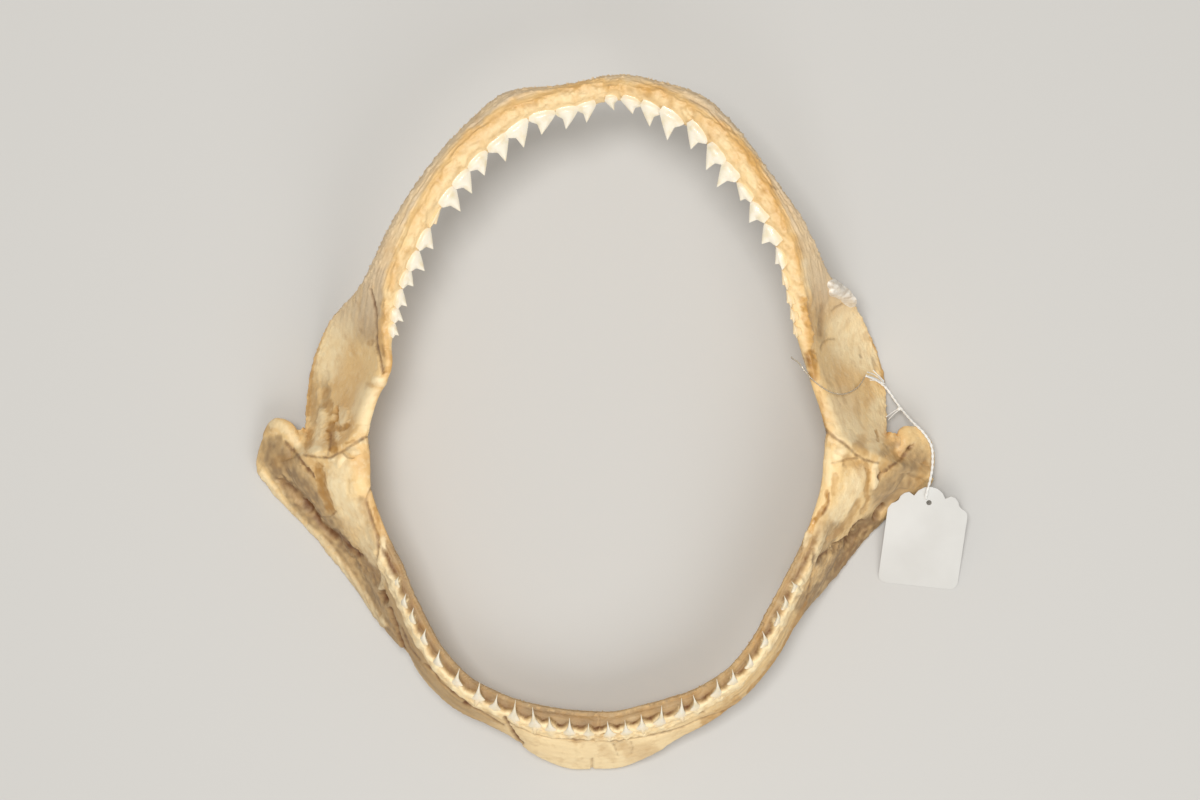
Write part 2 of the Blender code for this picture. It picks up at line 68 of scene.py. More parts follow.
camera_data = bpy.data.cameras.new("camera")
camera_data.sensor_width = SENSOR_WIDTH
camera_data.lens = SENSOR_WIDTH * LENS_PIXELS / PHOTO_WIDTH
camera = add_object("camera", camera_data)
camera.location = metres((0, 0, CAMERA_HEIGHT))
bpy.context.scene.camera = camera

# Floor and light
# A pale plain floor, with a soft key light from the upper left, a wide weak fill from below
# the picture and an even sky. They leave the short soft shadows that the photograph has to the
# lower right of the teeth.
FLOOR_SIZE = 4.0
FLOOR_GREY = "#C8C6C2"
SKY_COLOUR = "#F5F2EC"
SKY_STRENGTH = 0.38
# Each light's place and size in metres, and its power in watts
LIGHTS = {
    "key": (Vector((-0.13, 0.2, 1.6)), 0.5, 16.0),
    "fill": (Vector((0.35, -0.9, 1.1)), 1.0, 8.0),
}


def linear(code):
    """A hex sRGB colour as linear RGBA."""
    parts = [int(code[i:i + 2], 16) / 255 for i in (1, 3, 5)]
    return tuple(p / 12.92 if p < 0.04045 else ((p + 0.055) / 1.055) ** 2.4 for p in parts) + (1.0,)


def new_material(name, colour, roughness):
    """A material with its shader, to which a section adds its own nodes."""
    material = bpy.data.materials.new(name)
    material.use_nodes = True
    shader = material.node_tree.nodes["Principled BSDF"]
    shader.inputs["Base Color"].default_value = linear(colour)
    shader.inputs["Roughness"].default_value = roughness
    return material, material.node_tree, shader


def mesh_of(name, form):
    """The mesh of a form that is done."""
    mesh = bpy.data.meshes.new(name)
    form.to_mesh(mesh)
    form.free()
    return mesh


def grid_mesh(name, columns, rows, size):
    """A flat grid that reaches this far each way from the origin."""
    form = bmesh.new()
    bmesh.ops.create_grid(form, x_segments=columns, y_segments=rows, size=size)
    return mesh_of(name, form)


for name, (place, size, power) in LIGHTS.items():
    lamp = bpy.data.lights.new(name, "AREA")
    lamp.size = size
    lamp.energy = power
    light = add_object(name, lamp)
    light.location = place
    light.rotation_euler = (-place).to_track_quat("-Z", "Y").to_euler()
world = bpy.data.worlds.new("sky")
world.use_nodes = True
sky = world.node_tree.nodes["Background"].inputs
sky["Color"].default_value = linear(SKY_COLOUR)
sky["Strength"].default_value = SKY_STRENGTH
bpy.context.scene.world = world
bpy.context.scene.view_settings.view_transform = "Standard"
floor = add_object("floor", grid_mesh("floor", 1, 1, FLOOR_SIZE / 2))
floor.data.materials.append(new_material("pale_floor", FLOOR_GREY, roughness=0.9)[0])

# Thread
# A doubled cotton thread from the stitch in the hinge plate, over the lobe to the tag's hole.
# Its two strands are twisted, and its whole length shows in the photograph. Cotton is matt.
THREAD_THICK = 1.1
THREAD_WHITE = "#E9E8E4"
THREAD_TURN = 4.5
THREAD_SIDES = 16
THREAD_STEPS = 24
# The waist between the two strands, as a share of the thickness, and how sharp it is
THREAD_WAIST = 0.42
WAIST_SHARPNESS = 0.8
THREAD_ROUTE = (
    (105.0, 9.6, 13.2), (109.4, 8.0, 8.6), (114.0, 4.8, 4.4), (118.6, -2.0, 6.2),
    (123.2, -8.2, 11.4), (127.6, -12.8, 14.2), (131.0, -18.2, 12.6), (131.6, -25.4, 11.0),
    (130.6, -31.4, 11.8), (129.4, -35.4, 12.8), (128.8, -39.0, 11.8),
)


def through(rows, places):
    """A smooth curve through rows of numbers, read at places counted in rows."""
    rows = np.array(rows, float)
    places = np.asarray(places, float)
    first = np.clip(places.astype(int), 0, len(rows) - 2)
    t = (places - first)[:, None]
    a = rows[np.maximum(first - 1, 0)]
    b = rows[first]
    c = rows[first + 1]
    d = rows[np.minimum(first + 2, len(rows) - 1)]
    slope_in = (c - a) / 2
    slope_out = (d - b) / 2
    rise = c - b
    return b + t * (slope_in + t * (3 * rise - 2 * slope_in - slope_out
                                    + t * (slope_in + slope_out - 2 * rise)))


def smooth_line(route, steps):
    """Points along a smooth curve through a route, so many steps from one of its points to the next."""
    return through(route, np.linspace(0, len(route) - 1, (len(route) - 1) * steps + 1))


def run_along(points):
    """The distance along a line of points, at each of them."""
    return np.concatenate(([0], np.cumsum(np.linalg.norm(np.diff(points, axis=0), axis=1))))


def heading(points, i):
    """The way a line of points runs at one of them."""
    return Vector(points[min(i + 1, len(points) - 1)] - points[max(i - 1, 0)])


def stitch_rings(form, first, second):
    for i in range(len(first)):
        j = (i + 1) % len(first)
        form.faces.new((first[i], first[j], second[j], second[i]))


def loft(form, rings):
    """A closed skin through rings of points."""
    form.faces.new(rings[0][::-1])
    for first, second in zip(rings, rings[1:]):
        stitch_rings(form, first, second)
    form.faces.new(rings[-1])


def closed_mesh(name, form):
    """The mesh of a closed form, with its faces turned outwards."""
    bmesh.ops.recalc_face_normals(form, faces=form.faces)
    return mesh_of(name, form)


def new_piece(name, data, material):
    """A finished object at the origin that rides on the part."""
    piece = add_object(name, data)
    data.materials.append(material)
    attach(piece, "root")
    return piece


cotton = new_material("cotton_thread", THREAD_WHITE, roughness=0.85)[0]
thread_line = smooth_line(THREAD_ROUTE, THREAD_STEPS)
thread_run = run_along(thread_line)
form = bmesh.new()
rings = []
for i, point in enumerate(thread_line):
    ahead = heading(thread_line, i).normalized()
    side = ahead.cross(UP).normalized()
    above = side.cross(ahead)
    ring = []
    for k in range(THREAD_SIDES):
        angle = math.tau * k / THREAD_SIDES
        waisted = THREAD_WAIST + (1 - THREAD_WAIST) * abs(math.cos(angle)) ** WAIST_SHARPNESS
        reach = THREAD_THICK / 2 * waisted
        turned = angle + math.tau * thread_run[i] / THREAD_TURN
        ring.append(form.verts.new(metres(Vector(point) + side * (reach * math.cos(turned))
                                          + above * (reach * math.sin(turned)))))
    rings.append(ring)
loft(form, rings)
mesh = closed_mesh("thread", form)
mesh.shade_smooth()
thread = new_piece("thread", mesh, cotton)
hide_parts("tag_string")

# Nylon stitch
# One clear nylon line from the knot across the plate and over its inner edge. It is smooth and
# clear, so it shows mostly by its highlight.
NYLON_THICK = 0.5
NYLON_TINT = "#D8CDB8"
NYLON_CLEARNESS = 0.6
NYLON_IOR = 1.5
NYLON_STEPS = 6
NYLON_ROUTE = (
    (104.4, 9.0, 13.8), (101.0, 5.0, 21.2), (94.6, 2.4, 35.4), (88.0, 3.0, 48.8),
    (82.0, 6.6, 53.2), (78.2, 10.6, 52.8), (75.4, 14.2, 52.0), (73.4, 15.8, 49.0),
    (73.2, 16.4, 46.8),
)
nylon, _, shader = new_material("clear_nylon", NYLON_TINT, roughness=0.15)
shader.inputs["Transmission Weight"].default_value = NYLON_CLEARNESS
shader.inputs["IOR"].default_value = NYLON_IOR
nylon_line = smooth_line(NYLON_ROUTE, NYLON_STEPS)
curve = bpy.data.curves.new("nylon_line", "CURVE")
curve.dimensions = "3D"
curve.bevel_depth = NYLON_THICK / 2 * MM
curve.bevel_resolution = 3
curve.use_fill_caps = True
spline = curve.splines.new("POLY")
spline.points.add(len(nylon_line) - 1)
for knot, point in zip(spline.points, nylon_line):
    knot.co = (*metres(point), 1.0)
stitch = new_piece("nylon_line", curve, nylon)
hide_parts("nylon_stitch")

# Dried cartilage
# One material for all four halves: dull cream cartilage with tan, grey and brown patches, a fine
# dry grain, and yellow-orange dried gum with a faint gloss. Its grey is partly painted shade, its
# pale partly painted highlight, and its dark brown painted shade in creases, grooves and holes
# besides brown joint lines and specks. Each half paints its own masks, which this reads as
# attributes.
CREAM = "#F0CD92"
CREAM_TAN = "#DDB376"
CREAM_LIGHT = "#F7E2B8"
STREAK_BROWN = "#946F40"
STREAK_STRENGTH = 0.45
SPECK_TAN = "#B98D55"
# Painted shade in creases, grooves, holes and sockets, and brown joint lines and specks
SHADE_AND_LINE_BROWN = "#6A3E16"
PAINTS = {"grey_and_shade": "#9A7D58", "pale_and_highlight": "#F9E3B6", "gum": "#D9A75F", "ochre": "#B48442", "rim": "#D2BC9C"}
DULL = 0.58
GUM_GLOSS = 0.32
# Each pattern's size in mm, the two levels of noise it lies between, its strength and detail.
# The dry grain is drawn coarser than it is, so that it shows.
TAN_PATCHES = (18.2, 0.44, 0.66)
LIGHT_FLECKS = (2.63, 0.52, 0.70, 0.4)
TAN_SPECKS = (4.17, 0.55, 0.75, 0.35, 8.0)
DRY_GRAIN = (0.769, 5.0, 0.5, 0.4)


def node(tree, kind, output, inputs=(), **settings):
    """Adds a node with its settings, and with values or links put into its inputs."""
    made = tree.nodes.new(kind)
    for key, value in settings.items():
        setattr(made, key, value)
    for key, value in dict(inputs).items():
        if isinstance(value, bpy.types.NodeSocket):
            tree.links.new(value, made.inputs[key])
        else:
            made.inputs[key].default_value = value
    return made.outputs[output]


def lumpy(tree, size, detail):
    """Noise over the model, with a whole number of lumps of about this size in each metre."""
    spot = node(tree, "ShaderNodeTexCoord", "Object")
    return node(tree, "ShaderNodeTexNoise", "Fac",
                {"Vector": spot, "Scale": round(1 / (size * MM)), "Detail": detail})


def patches(tree, size, low, high, strength=1.0, detail=4.0):
    """A mask that is 0 below one level of noise, and this strong above another."""
    return node(tree, "ShaderNodeMapRange", "Result",
                {"Value": lumpy(tree, size, detail), "From Min": low, "From Max": high, "To Max": strength})


def painted(tree, shader, colour, *coats):
    """The shader's colour: a ground with coats over it, each as strong as its mask."""
    colour = linear(colour)
    for strength, coat in coats:
        if isinstance(strength, str):
            strength = node(tree, "ShaderNodeAttribute", "Fac", attribute_name=strength)
        colour = node(tree, "ShaderNodeMix", 2, {0: strength, 6: colour, 7: linear(coat)}, data_type="RGBA")
    tree.links.new(colour, shader.inputs["Base Color"])


def grained(tree, shader, size, detail, strength, depth):
    """Fine grain over the whole surface, its size and depth in mm."""
    bump = node(tree, "ShaderNodeBump", "Normal",
                {"Height": lumpy(tree, size, detail), "Strength": strength, "Distance": depth * MM})
    tree.links.new(bump, shader.inputs["Normal"])


cartilage, tree, shader = new_material("dried_cartilage", CREAM, roughness=DULL)
streak = node(tree, "ShaderNodeMapRange", "Result",
              {"Value": node(tree, "ShaderNodeAttribute", "Fac", attribute_name="streak"),
               "To Max": STREAK_STRENGTH})
painted(tree, shader, CREAM, (patches(tree, *TAN_PATCHES), CREAM_TAN),
        (patches(tree, *LIGHT_FLECKS), CREAM_LIGHT), *PAINTS.items(), (streak, STREAK_BROWN),
        (patches(tree, *TAN_SPECKS), SPECK_TAN), ("shade_and_brown_line", SHADE_AND_LINE_BROWN))
gloss = node(tree, "ShaderNodeMapRange", "Result",
             {"Value": node(tree, "ShaderNodeAttribute", "Fac", attribute_name="gum"),
              "To Min": DULL, "To Max": GUM_GLOSS})
tree.links.new(gloss, shader.inputs["Roughness"])
grained(tree, shader, *DRY_GRAIN)

# Upper jaw
# Each half is lofted through its own cross-sections, from the front joint to the hinge: the
# inner and outer edge, thickness at three places, how far the middle bows up and how deep a
# crease is. Relief is then pushed into the camera side and the masks are painted on it.
UPPER_FRONT = 0.8
UPPER_GRID = (360, 156)
UPPER_SEED = 1
# The gap at a hinge, and how far an upper half runs past its front face into the other half
GAP = 0.3
FRONT_LAP = 0.9
# The share of the grid that lies on the camera side, how far the inner wall draws in for each
# mm down, and how near the front joint the relief is kept from leaning across it
TOP_SHARE = 0.66
UNDERCUT = 0.1
END_REACH = 2.4
CREASE_WIDTH = 0.09
CREASE_PLACE = 0.74
# The largest shares of a section that its inner and outer edge are rounded over
INNER_ROUND = 0.34
OUTER_ROUND = 0.30
# How far in from the inner edge distances along a half are measured, and in how many steps
TOOTH_LINE = 3.0
RUN_STEPS = 400
WALK_STEP = 0.02
# How near to each other, in mm, the points at a closed edge are merged
MERGE_WITHIN = 0.0005
# How far the skin has to face up for relief to start and to be whole
FACING_UP = (-0.35, 0.1)
# The least length that a normal levelled near the front joint is counted with
LEAST_FACING = 0.3
MASKS = (*PAINTS, "streak", "shade_and_brown_line")


def section(inner, outer, thick, bow=0.0, crease=0.0):
    """One cross-section, as one row of numbers."""
    return inner + outer + thick + (bow, crease)


UPPER_LEFT = (
    section((UPPER_FRONT, 112.6, 57), (UPPER_FRONT, 122.6, 55), (7, 10, 7)),
    section((-9.4, 109.5, 57), (-12.1, 119.5, 55), (7, 11, 7)),
    section((-24.5, 106.2, 57), (-29.6, 117.8, 54), (7, 12, 8)),
    section((-33.6, 100.7, 57), (-40.5, 113.6, 54), (7, 12, 8)),
    section((-47.5, 88.6, 57), (-57.0, 98.2, 53), (7, 12, 8)),
    section((-59.6, 73.2, 56), (-71.2, 79.8, 52), (7, 12, 8)),
    section((-67.3, 58.6, 55), (-80.6, 64.4, 51), (7, 12, 8)),
    section((-74.2, 43.5, 54), (-87.4, 50.2, 48), (8, 12, 7)),
    section((-77.6, 31.0, 53), (-93.6, 41.8, 38), (9, 9, 5)),
    section((-79.2, 20.6, 52), (-106.2, 31.0, 14), (9, 6, 4), bow=-4),
    section((-79.8, 11.0, 51), (-114.0, 17.0, 1), (9, 5, 3.5), bow=-6),
    section((-84.8, 0.2, 50), (-116.8, 2.0, 0.5), (9, 5.5, 3.5), bow=-6),
    section((-87.2, -7.4, 49), (-117.0, -10.0, 4), (10, 8, 5), bow=-3),
    section((-88.6, -13.8, 49), (-115.8, -21.5, 15), (11, 12, 9)),
)

UPPER_RIGHT = (
    section((UPPER_FRONT, 112.6, 57), (UPPER_FRONT, 122.6, 55), (7, 10, 7)),
    section((7.9, 113.0, 59), (9.8, 122.8, 56), (7, 11, 7)),
    section((22.1, 108.2, 62), (25.3, 119.4, 58), (7, 12, 8)),
    section((34.4, 101.4, 66), (40.5, 112.8, 61), (7, 12, 8)),
    section((44.0, 90.8, 68), (52.9, 99.8, 62), (7, 12, 8)),
    section((51.6, 80.6, 67), (62.6, 86.6, 61), (7, 12, 8)),
    section((60.6, 67.9, 65), (74.2, 71.4, 57), (7, 12, 8)),
    section((66.0, 58.0, 62), (80.0, 61.2, 53), (8, 12, 7)),
    section((69.6, 45.0, 59), (88.6, 46.4, 42), (9, 9, 5)),
    section((72.4, 34.4, 56), (100.4, 36.0, 19), (9, 6, 4), bow=-4),
    section((74.6, 24.4, 54), (109.6, 21.6, 1), (9, 5, 3.5), bow=-6),
    section((78.4, 12.0, 52), (113.4, 8.0, 0.5), (9, 5.5, 3.5), bow=-6),
    section((83.2, -1.8, 50), (113.6, -7.6, 5), (10, 8, 5), bow=-3),
    section((86.3, -12.5, 49), (111.5, -22.5, 17), (11, 12, 9)),
)

# How far the dried gum reaches from the inner edge, in mm at each cross-section
GUM_LEFT = (6.3, 8.0, 6.8, 8.0, 8.4, 6.5, 7.0, 5.6, 4.4, 3.6, 0.6, 0, 0, 0)
GUM_RIGHT = (6.3, 5.5, 7.2, 6.5, 8.5, 8.8, 7.0, 6.0, 6.5, 6.0, 5.5, 3.0, 0, 0)

# Each upper tooth's distance along the edge from the one before, and its height past the edge.
# The ninth on the left is broken off, and those at the back of the right side are worn down.
UPPER_LEFT_TEETH = (
    (6.5, 5.7), (7.3, 6.4), (9.5, 6.5), (11.0, 7.2), (9.0, 7.1),
    (10.1, 5.5), (9.0, 6.3), (8.4, 6.8), (9.3, 1.4), (9.1, 4.5),
    (9.1, 5.1), (7.3, 3.5), (8.5, 3.4), (6.4, 3.3), (5.7, 2.4),
)
UPPER_RIGHT_TEETH = (
    (3.3, 4.0), (8.1, 3.9), (8.0, 6.3), (8.5, 8.4), (11.5, 5.9),
    (10.4, 6.5), (8.1, 7.1), (9.1, 2.8), (8.7, 4.8), (9.6, 4.7),
    (9.7, 2.1), (8.5, 1.2), (7.2, 1.2), (6.4, 1.2), (5.8, 1.2),
)
# The last place, counted in cross-sections, where an upper tooth can stand
LAST_UPPER_PLACE = 11.5

# Marks that the photograph shows, each a mask, its strength, its half width in pixels, how far
# it rises in mm and its line in the photograph's pixels. The dark marks are painted shade in
# creases, grooves and holes, or brown joint lines and specks.
UPPER_LEFT_MARKS = (
    ("shade_and_brown_line", 0.75, 1.5, -0.6, ((371, 290), (375, 311), (377, 331), (376, 342), (380, 358), (383, 373))),
    ("grey_and_shade", 0.75, 4.5, 0.0, ((378, 272), (380, 300), (382, 322), (380, 340), (384, 352))),
    ("gum", 0.9, 3.4, 0.2, ((388, 330), (387, 345), (390, 358), (391, 366), (386, 374))),
    ("shade_and_brown_line", 0.4, 1.6, -0.2, ((384, 345), (384, 358), (385, 372))),
    ("pale_and_highlight", 1.0, 4.2, 0.5, ((377, 381), (383, 383))),
    ("pale_and_highlight", 0.85, 14.0, 0.0, ((344, 318), (330, 350), (328, 366))),
    ("pale_and_highlight", 0.7, 11.0, 0.0, ((366, 395), (362, 410), (368, 420))),
    ("gum", 0.3, 14.0, 0.0, ((352, 372), (345, 395))),
    ("grey_and_shade", 0.45, 12.0, -0.2, ((368, 305), (366, 330))),
    ("grey_and_shade", 0.5, 5.0, -0.3, ((313, 375), (313, 400), (315, 420))),
    ("ochre", 0.6, 1.8, 0.0, ((340, 305), (327, 325), (319, 345), (312, 366), (309, 395), (308, 415))),
    ("grey_and_shade", 0.6, 4.0, -0.4, ((324, 374), (326, 390), (324, 404), (318, 412))),
    ("ochre", 0.5, 2.5, -0.2, ((325, 389), (324, 396))),
    ("ochre", 0.75, 4.5, -0.3, ((328, 404), (331, 412))),
    ("ochre", 0.6, 2.6, -0.2, ((370, 343), (372, 342))),
    ("ochre", 0.5, 3.0, 0.0, ((368, 284), (371, 287))),
    ("ochre", 0.95, 3.2, -1.4, ((336, 410), (336, 418))),
    ("shade_and_brown_line", 0.7, 2.2, -0.8, ((336, 411), (337, 417))),
    ("pale_and_highlight", 0.6, 5.0, 0.9, ((343, 412), (344, 422))),
    ("ochre", 0.9, 2.4, -0.5, ((337, 428), (343, 429), (348, 425))),
    ("ochre", 1.0, 4.2, -0.5, ((331, 424), (332, 440), (334, 449))),
    ("shade_and_brown_line", 0.55, 1.3, -0.3, ((329, 432), (331, 440), (328, 455))),
    ("ochre", 0.65, 4.0, 0.0, ((311, 434), (308, 446))),
    ("pale_and_highlight", 0.9, 3.0, 0.6, ((335, 434), (336, 437))),
    ("pale_and_highlight", 0.75, 4.4, 0.9, ((322, 414), (322, 430), (317, 444))),
    ("pale_and_highlight", 0.9, 4.0, 0.8, ((311, 450), (318, 448))),
    ("shade_and_brown_line", 0.35, 1.5, -0.1, ((361, 330), (362, 333))),
    ("ochre", 0.45, 2.2, -0.1, ((368, 384), (372, 386))),
    ("ochre", 0.4, 2.0, -0.1, ((376, 396), (380, 392))),
    ("shade_and_brown_line", 0.7, 1.5, -0.4, ((304, 455), (315, 457), (330, 458), (343, 451), (352, 445), (366, 437))),
)
UPPER_RIGHT_MARKS = (
    # Painted shade: a grey-brown shade band down the plate
    ("grey_and_shade", 0.5, 6.0, 0.0, ((812, 262), (818, 285), (821, 310), (820, 335))),
    ("shade_and_brown_line", 0.4, 2.4, -0.3, ((822, 306), (821, 318), (820, 334))),
    ("shade_and_brown_line", 0.5, 1.1, -0.4, ((821, 348), (824, 342), (829, 339), (835, 339))),
    ("shade_and_brown_line", 0.5, 1.1, -0.4, ((832, 311), (836, 307), (842, 304))),
    ("gum", 1.0, 4.2, 0.2, ((802, 300), (805, 312), (807, 325), (808, 340))),
    ("ochre", 0.5, 3.0, 0.0, ((806, 305), (807, 318))),
    ("pale_and_highlight", 0.7, 4.5, 0.3, ((803, 262), (806, 282), (809, 300))),
    ("ochre", 1.0, 4.8, -0.7, ((810, 354), (812, 364), (813, 376))),
    ("shade_and_brown_line", 0.6, 2.6, -0.5, ((806, 356), (807, 366))),
    ("gum", 0.8, 2.4, 0.0, ((814, 356), (815, 372))),
    # Painted highlight: the plate's broad pale patch, brightened where it slopes away from the light
    ("pale_and_highlight", 0.9, 17.0, 0.0, ((846, 325), (864, 355), (850, 345))),
    ("gum", 0.28, 15.0, 0.0, ((850, 380), (848, 400))),
    ("grey_and_shade", 0.15, 10.0, -0.2, ((832, 350), (832, 372))),
    ("ochre", 0.8, 1.5, 0.0, ((871, 338), (878, 354), (882, 370), (885, 388))),
    ("shade_and_brown_line", 0.5, 1.3, -0.2, ((861, 355), (862, 357))),
    ("shade_and_brown_line", 0.45, 1.5, -0.2, ((873, 358), (876, 369))),
    ("ochre", 0.25, 2.6, -0.1, ((828, 380), (832, 384))),
    ("ochre", 0.2, 3.2, 0.0, ((864, 400), (868, 410))),
    ("gum", 0.4, 4.0, 0.0, ((872, 398), (866, 404))),
    ("pale_and_highlight", 0.75, 8.0, 0.2, ((876, 405), (877, 425), (873, 445))),
    ("pale_and_highlight", 0.75, 15.0, 0.0, ((842, 405), (850, 430))),
    ("ochre", 0.4, 4.0, -0.2, ((861, 438), (863, 452))),
    ("ochre", 0.7, 1.6, -0.3, ((876, 431), (878, 440))),
    ("ochre", 0.7, 1.8, 0.0, ((819, 392), (822, 410), (824, 425))),
    ("shade_and_brown_line", 0.65, 1.7, -0.5, ((825, 429), (834, 437), (845, 444), (855, 454), (865, 460), (878, 463))),
    ("grey_and_shade", 0.45, 6.0, -0.1, ((800, 240), (812, 268))),
    ("shade_and_brown_line", 0.35, 1.0, -0.3, ((690, 99), (708, 109), (722, 126), (736, 134))),
    ("shade_and_brown_line", 0.45, 1.4, -0.2, ((771, 186), (776, 189))),
)

# How a mark's edge wanders and its strength breaks up, as heights and sizes of lumps, and where
# each kind of mark is full and where it is gone, counted in half widths
MARK_WANDER = ((0.8, 3.0), (0.6, 1.3), (0.4, 0.6))
LARGEST_WANDER = 2.6
MARK_STRENGTH = 0.85
MARK_BREAKS = (0.35, 1.8)
MARK_EDGES = {"shade_and_brown_line": (0.1, 1.6), "ochre": (0.6, 1.4), "gum": (0.6, 1.4)}
SOFT_EDGES = (0.5, 1.6)
# Odd numbers that scatter the noise, and shift it from one seed to the next
SCATTER = (127.1, 311.7, 74.7)
SCATTER_SIZE = 43758.5453
SEED_SHIFT = 19.7


def step(low, high, values):
    """Rises smoothly from 0 to 1 between two levels."""
    t = np.clip((values - low) / (high - low), 0, 1)
    return t * t * (3 - 2 * t)


def bell(values, middle, width):
    """1 in the middle, and smoothly down to 0 on both sides of it."""
    return np.exp(-((values - middle) / width) ** 2)


def lumps(points, size, seed):
    """Smooth noise from -1 to 1 with lumps of a size in mm."""
    scaled = points / size + seed * SEED_SHIFT
    cell = np.floor(scaled)
    t = scaled - cell
    t = t * t * (3 - 2 * t)
    total = np.zeros(len(points))
    for corner in np.ndindex(2, 2, 2):
        at = cell + corner
        chance = np.sin(at @ SCATTER) * SCATTER_SIZE
        weight = np.prod(np.where(corner, t, 1 - t), axis=1)
        total += weight * (2 * (chance - np.floor(chance)) - 1)
    return total


def layered(points, seed, *layers):
    """Lumps of several sizes added up, each layer with its height and its size."""
    return sum(height * lumps(points, size, seed + i) for i, (height, size) in enumerate(layers))


def seen(points):
    """Where the camera sees places on the sheet, in the photograph's pixels."""
    scale = LENS_PIXELS / (CAMERA_HEIGHT - points[:, 2])
    return PHOTO_MIDDLE + points[:, :2] * (1, -1) * scale[:, None]


def from_line(pixels, line):
    """Distance in pixels from a line drawn through pixels of the photograph."""
    corners = np.array(line, float)
    if len(corners) == 1:
        return np.linalg.norm(pixels - corners[0], axis=1)
    best = np.full(len(pixels), np.inf)
    for a, b in zip(corners, corners[1:]):
        run = b - a
        t = np.clip((pixels - a) @ run / (run @ run), 0, 1)
        best = np.minimum(best, np.linalg.norm(pixels - a - t[:, None] * run, axis=1))
    return best


def rounded(distance, reach):
    """The share of its full thickness that a section has this close to its edge."""
    t = np.clip(distance / reach, 0, 1)
    return np.sqrt(1 - (1 - t) ** 2)


def section_points(rows, place, s, under):
    """Points on the skin of a half, at places along it and shares across it, how far each lies
    from the inner edge, seen from above, and how wide the half is there."""
    values = through(rows, place)
    inner, outer, thick, bow, crease = np.split(values, (3, 6, 9, 10), axis=1)
    bow = bow[:, 0]
    flat = (outer - inner) * (1, 1, 0)
    span = np.linalg.norm(flat, axis=1)
    outward = flat / span[:, None]
    width = np.linalg.norm(outer - inner, axis=1)
    inner_round = np.minimum(INNER_ROUND, 0.5 * thick[:, 0] / width)
    outer_round = np.minimum(OUTER_ROUND, 0.5 * thick[:, 2] / width)
    middle = inner + (outer - inner) * s[:, None]
    middle[:, 2] += 4 * bow * s * (1 - s)
    fall = outer[:, 2] - inner[:, 2] + 4 * bow * (1 - 2 * s)
    normal = outward * -fall[:, None]
    normal[:, 2] = span
    normal /= np.linalg.norm(normal, axis=1)[:, None]
    half = (thick[:, 0] * (1 - s) * (1 - 2 * s) + 4 * thick[:, 1] * s * (1 - s)
            + thick[:, 2] * s * (2 * s - 1)) / 2
    half = half * rounded(s, inner_round) * rounded(1 - s, outer_round)
    dip = crease[:, 0] * bell(s, CREASE_PLACE, CREASE_WIDTH)
    points = middle + normal * np.where(under, -half, half - dip)[:, None]
    out = ((points - inner) * outward).sum(axis=1)
    least = UNDERCUT * np.maximum(inner[:, 2] - points[:, 2], 0)
    kept = np.clip(out, least, span)
    points += outward * (kept - out)[:, None]
    points[:, 2] = np.maximum(points[:, 2], 0)
    return points, kept, span


def rows_of(items, key, width):
    """One property of each of a mesh's items, as rows of numbers."""
    values = np.empty(len(items) * width, np.float32)
    items.foreach_get(key, values)
    return values.astype(float).reshape(-1, width)


def read(mesh, name):
    return rows_of(mesh.attributes[name].data, "value", 1)[:, 0]


def write(mesh, name, values):
    layer = mesh.attributes.get(name) or mesh.attributes.new(name, "FLOAT", "POINT")
    layer.data.foreach_set("value", np.asarray(values, np.float32))


def set_co(mesh, points):
    mesh.vertices.foreach_set("co", np.asarray(points, np.float32).ravel())
    mesh.update()


def half_skin(name, rows, columns, rings, shift_front=0.0, shift_hinge=0.0):
    """A closed skin through a half's cross-sections: a fine grid wrapped round them."""
    mesh = grid_mesh(name, columns, rings, 1.0)
    grid = (rows_of(mesh.vertices, "co", 3) + 1) / 2
    place = grid[:, 0] * (len(rows) - 1)
    under = grid[:, 1] > TOP_SHARE
    turn = np.where(under, (1 - grid[:, 1]) / (1 - TOP_SHARE), grid[:, 1] / TOP_SHARE)
    across = 0.5 * turn + 0.25 * (1 - np.cos(np.pi * turn))
    points, kept, span = section_points(rows, place, across, under)
    points[:, 0] += np.where(grid[:, 0] < 1e-5, shift_front, 0)
    points[:, 1] += np.where(grid[:, 0] > 1 - 1e-5, shift_hinge, 0)
    set_co(mesh, points)
    write(mesh, "place", place)
    write(mesh, "in_mm", kept)
    write(mesh, "out_mm", span - kept)
    form = bmesh.new()
    form.from_mesh(mesh)
    bmesh.ops.remove_doubles(form, verts=form.verts, dist=MERGE_WITHIN)
    rim = [edge for edge in form.edges if edge.is_boundary]
    for edge in rim:
        edge.smooth = False
    bmesh.ops.holes_fill(form, edges=rim, sides=0)
    bmesh.ops.triangulate(form, faces=[face for face in form.faces if len(face.verts) > 4])
    bmesh.ops.recalc_face_normals(form, faces=form.faces)
    form.to_mesh(mesh)
    form.free()
    return mesh


def line_run(rows):
    """Places along a half, and how far along its tooth line each is."""
    places = np.linspace(0, len(rows) - 1, RUN_STEPS)
    values = through(rows, places)
    outward = values[:, 3:5] - values[:, 0:2]
    outward /= np.linalg.norm(outward, axis=1)[:, None]
    return places, run_along(values[:, 0:2] + outward * TOOTH_LINE)


def skin_facts(mesh, rows):
    """What the relief needs to know of each point of a half's skin, and its empty masks."""
    points = rows_of(mesh.vertices, "co", 3)
    normals = rows_of(mesh.vertex_normals, "vector", 3)
    place = read(mesh, "place")
    along = np.interp(place, *line_run(rows))
    level = along < END_REACH
    normals[level, 0] = 0
    normals[level] /= np.maximum(np.linalg.norm(normals[level], axis=1), LEAST_FACING)[:, None]
    facts = {"points": points, "normals": normals, "place": place, "in_mm": read(mesh, "in_mm"),
             "out_mm": read(mesh, "out_mm"), "top": step(*FACING_UP, normals[:, 2]),
             "pixels": seen(points), "along": along}
    return facts, {name: np.zeros(len(points)) for name in MASKS}


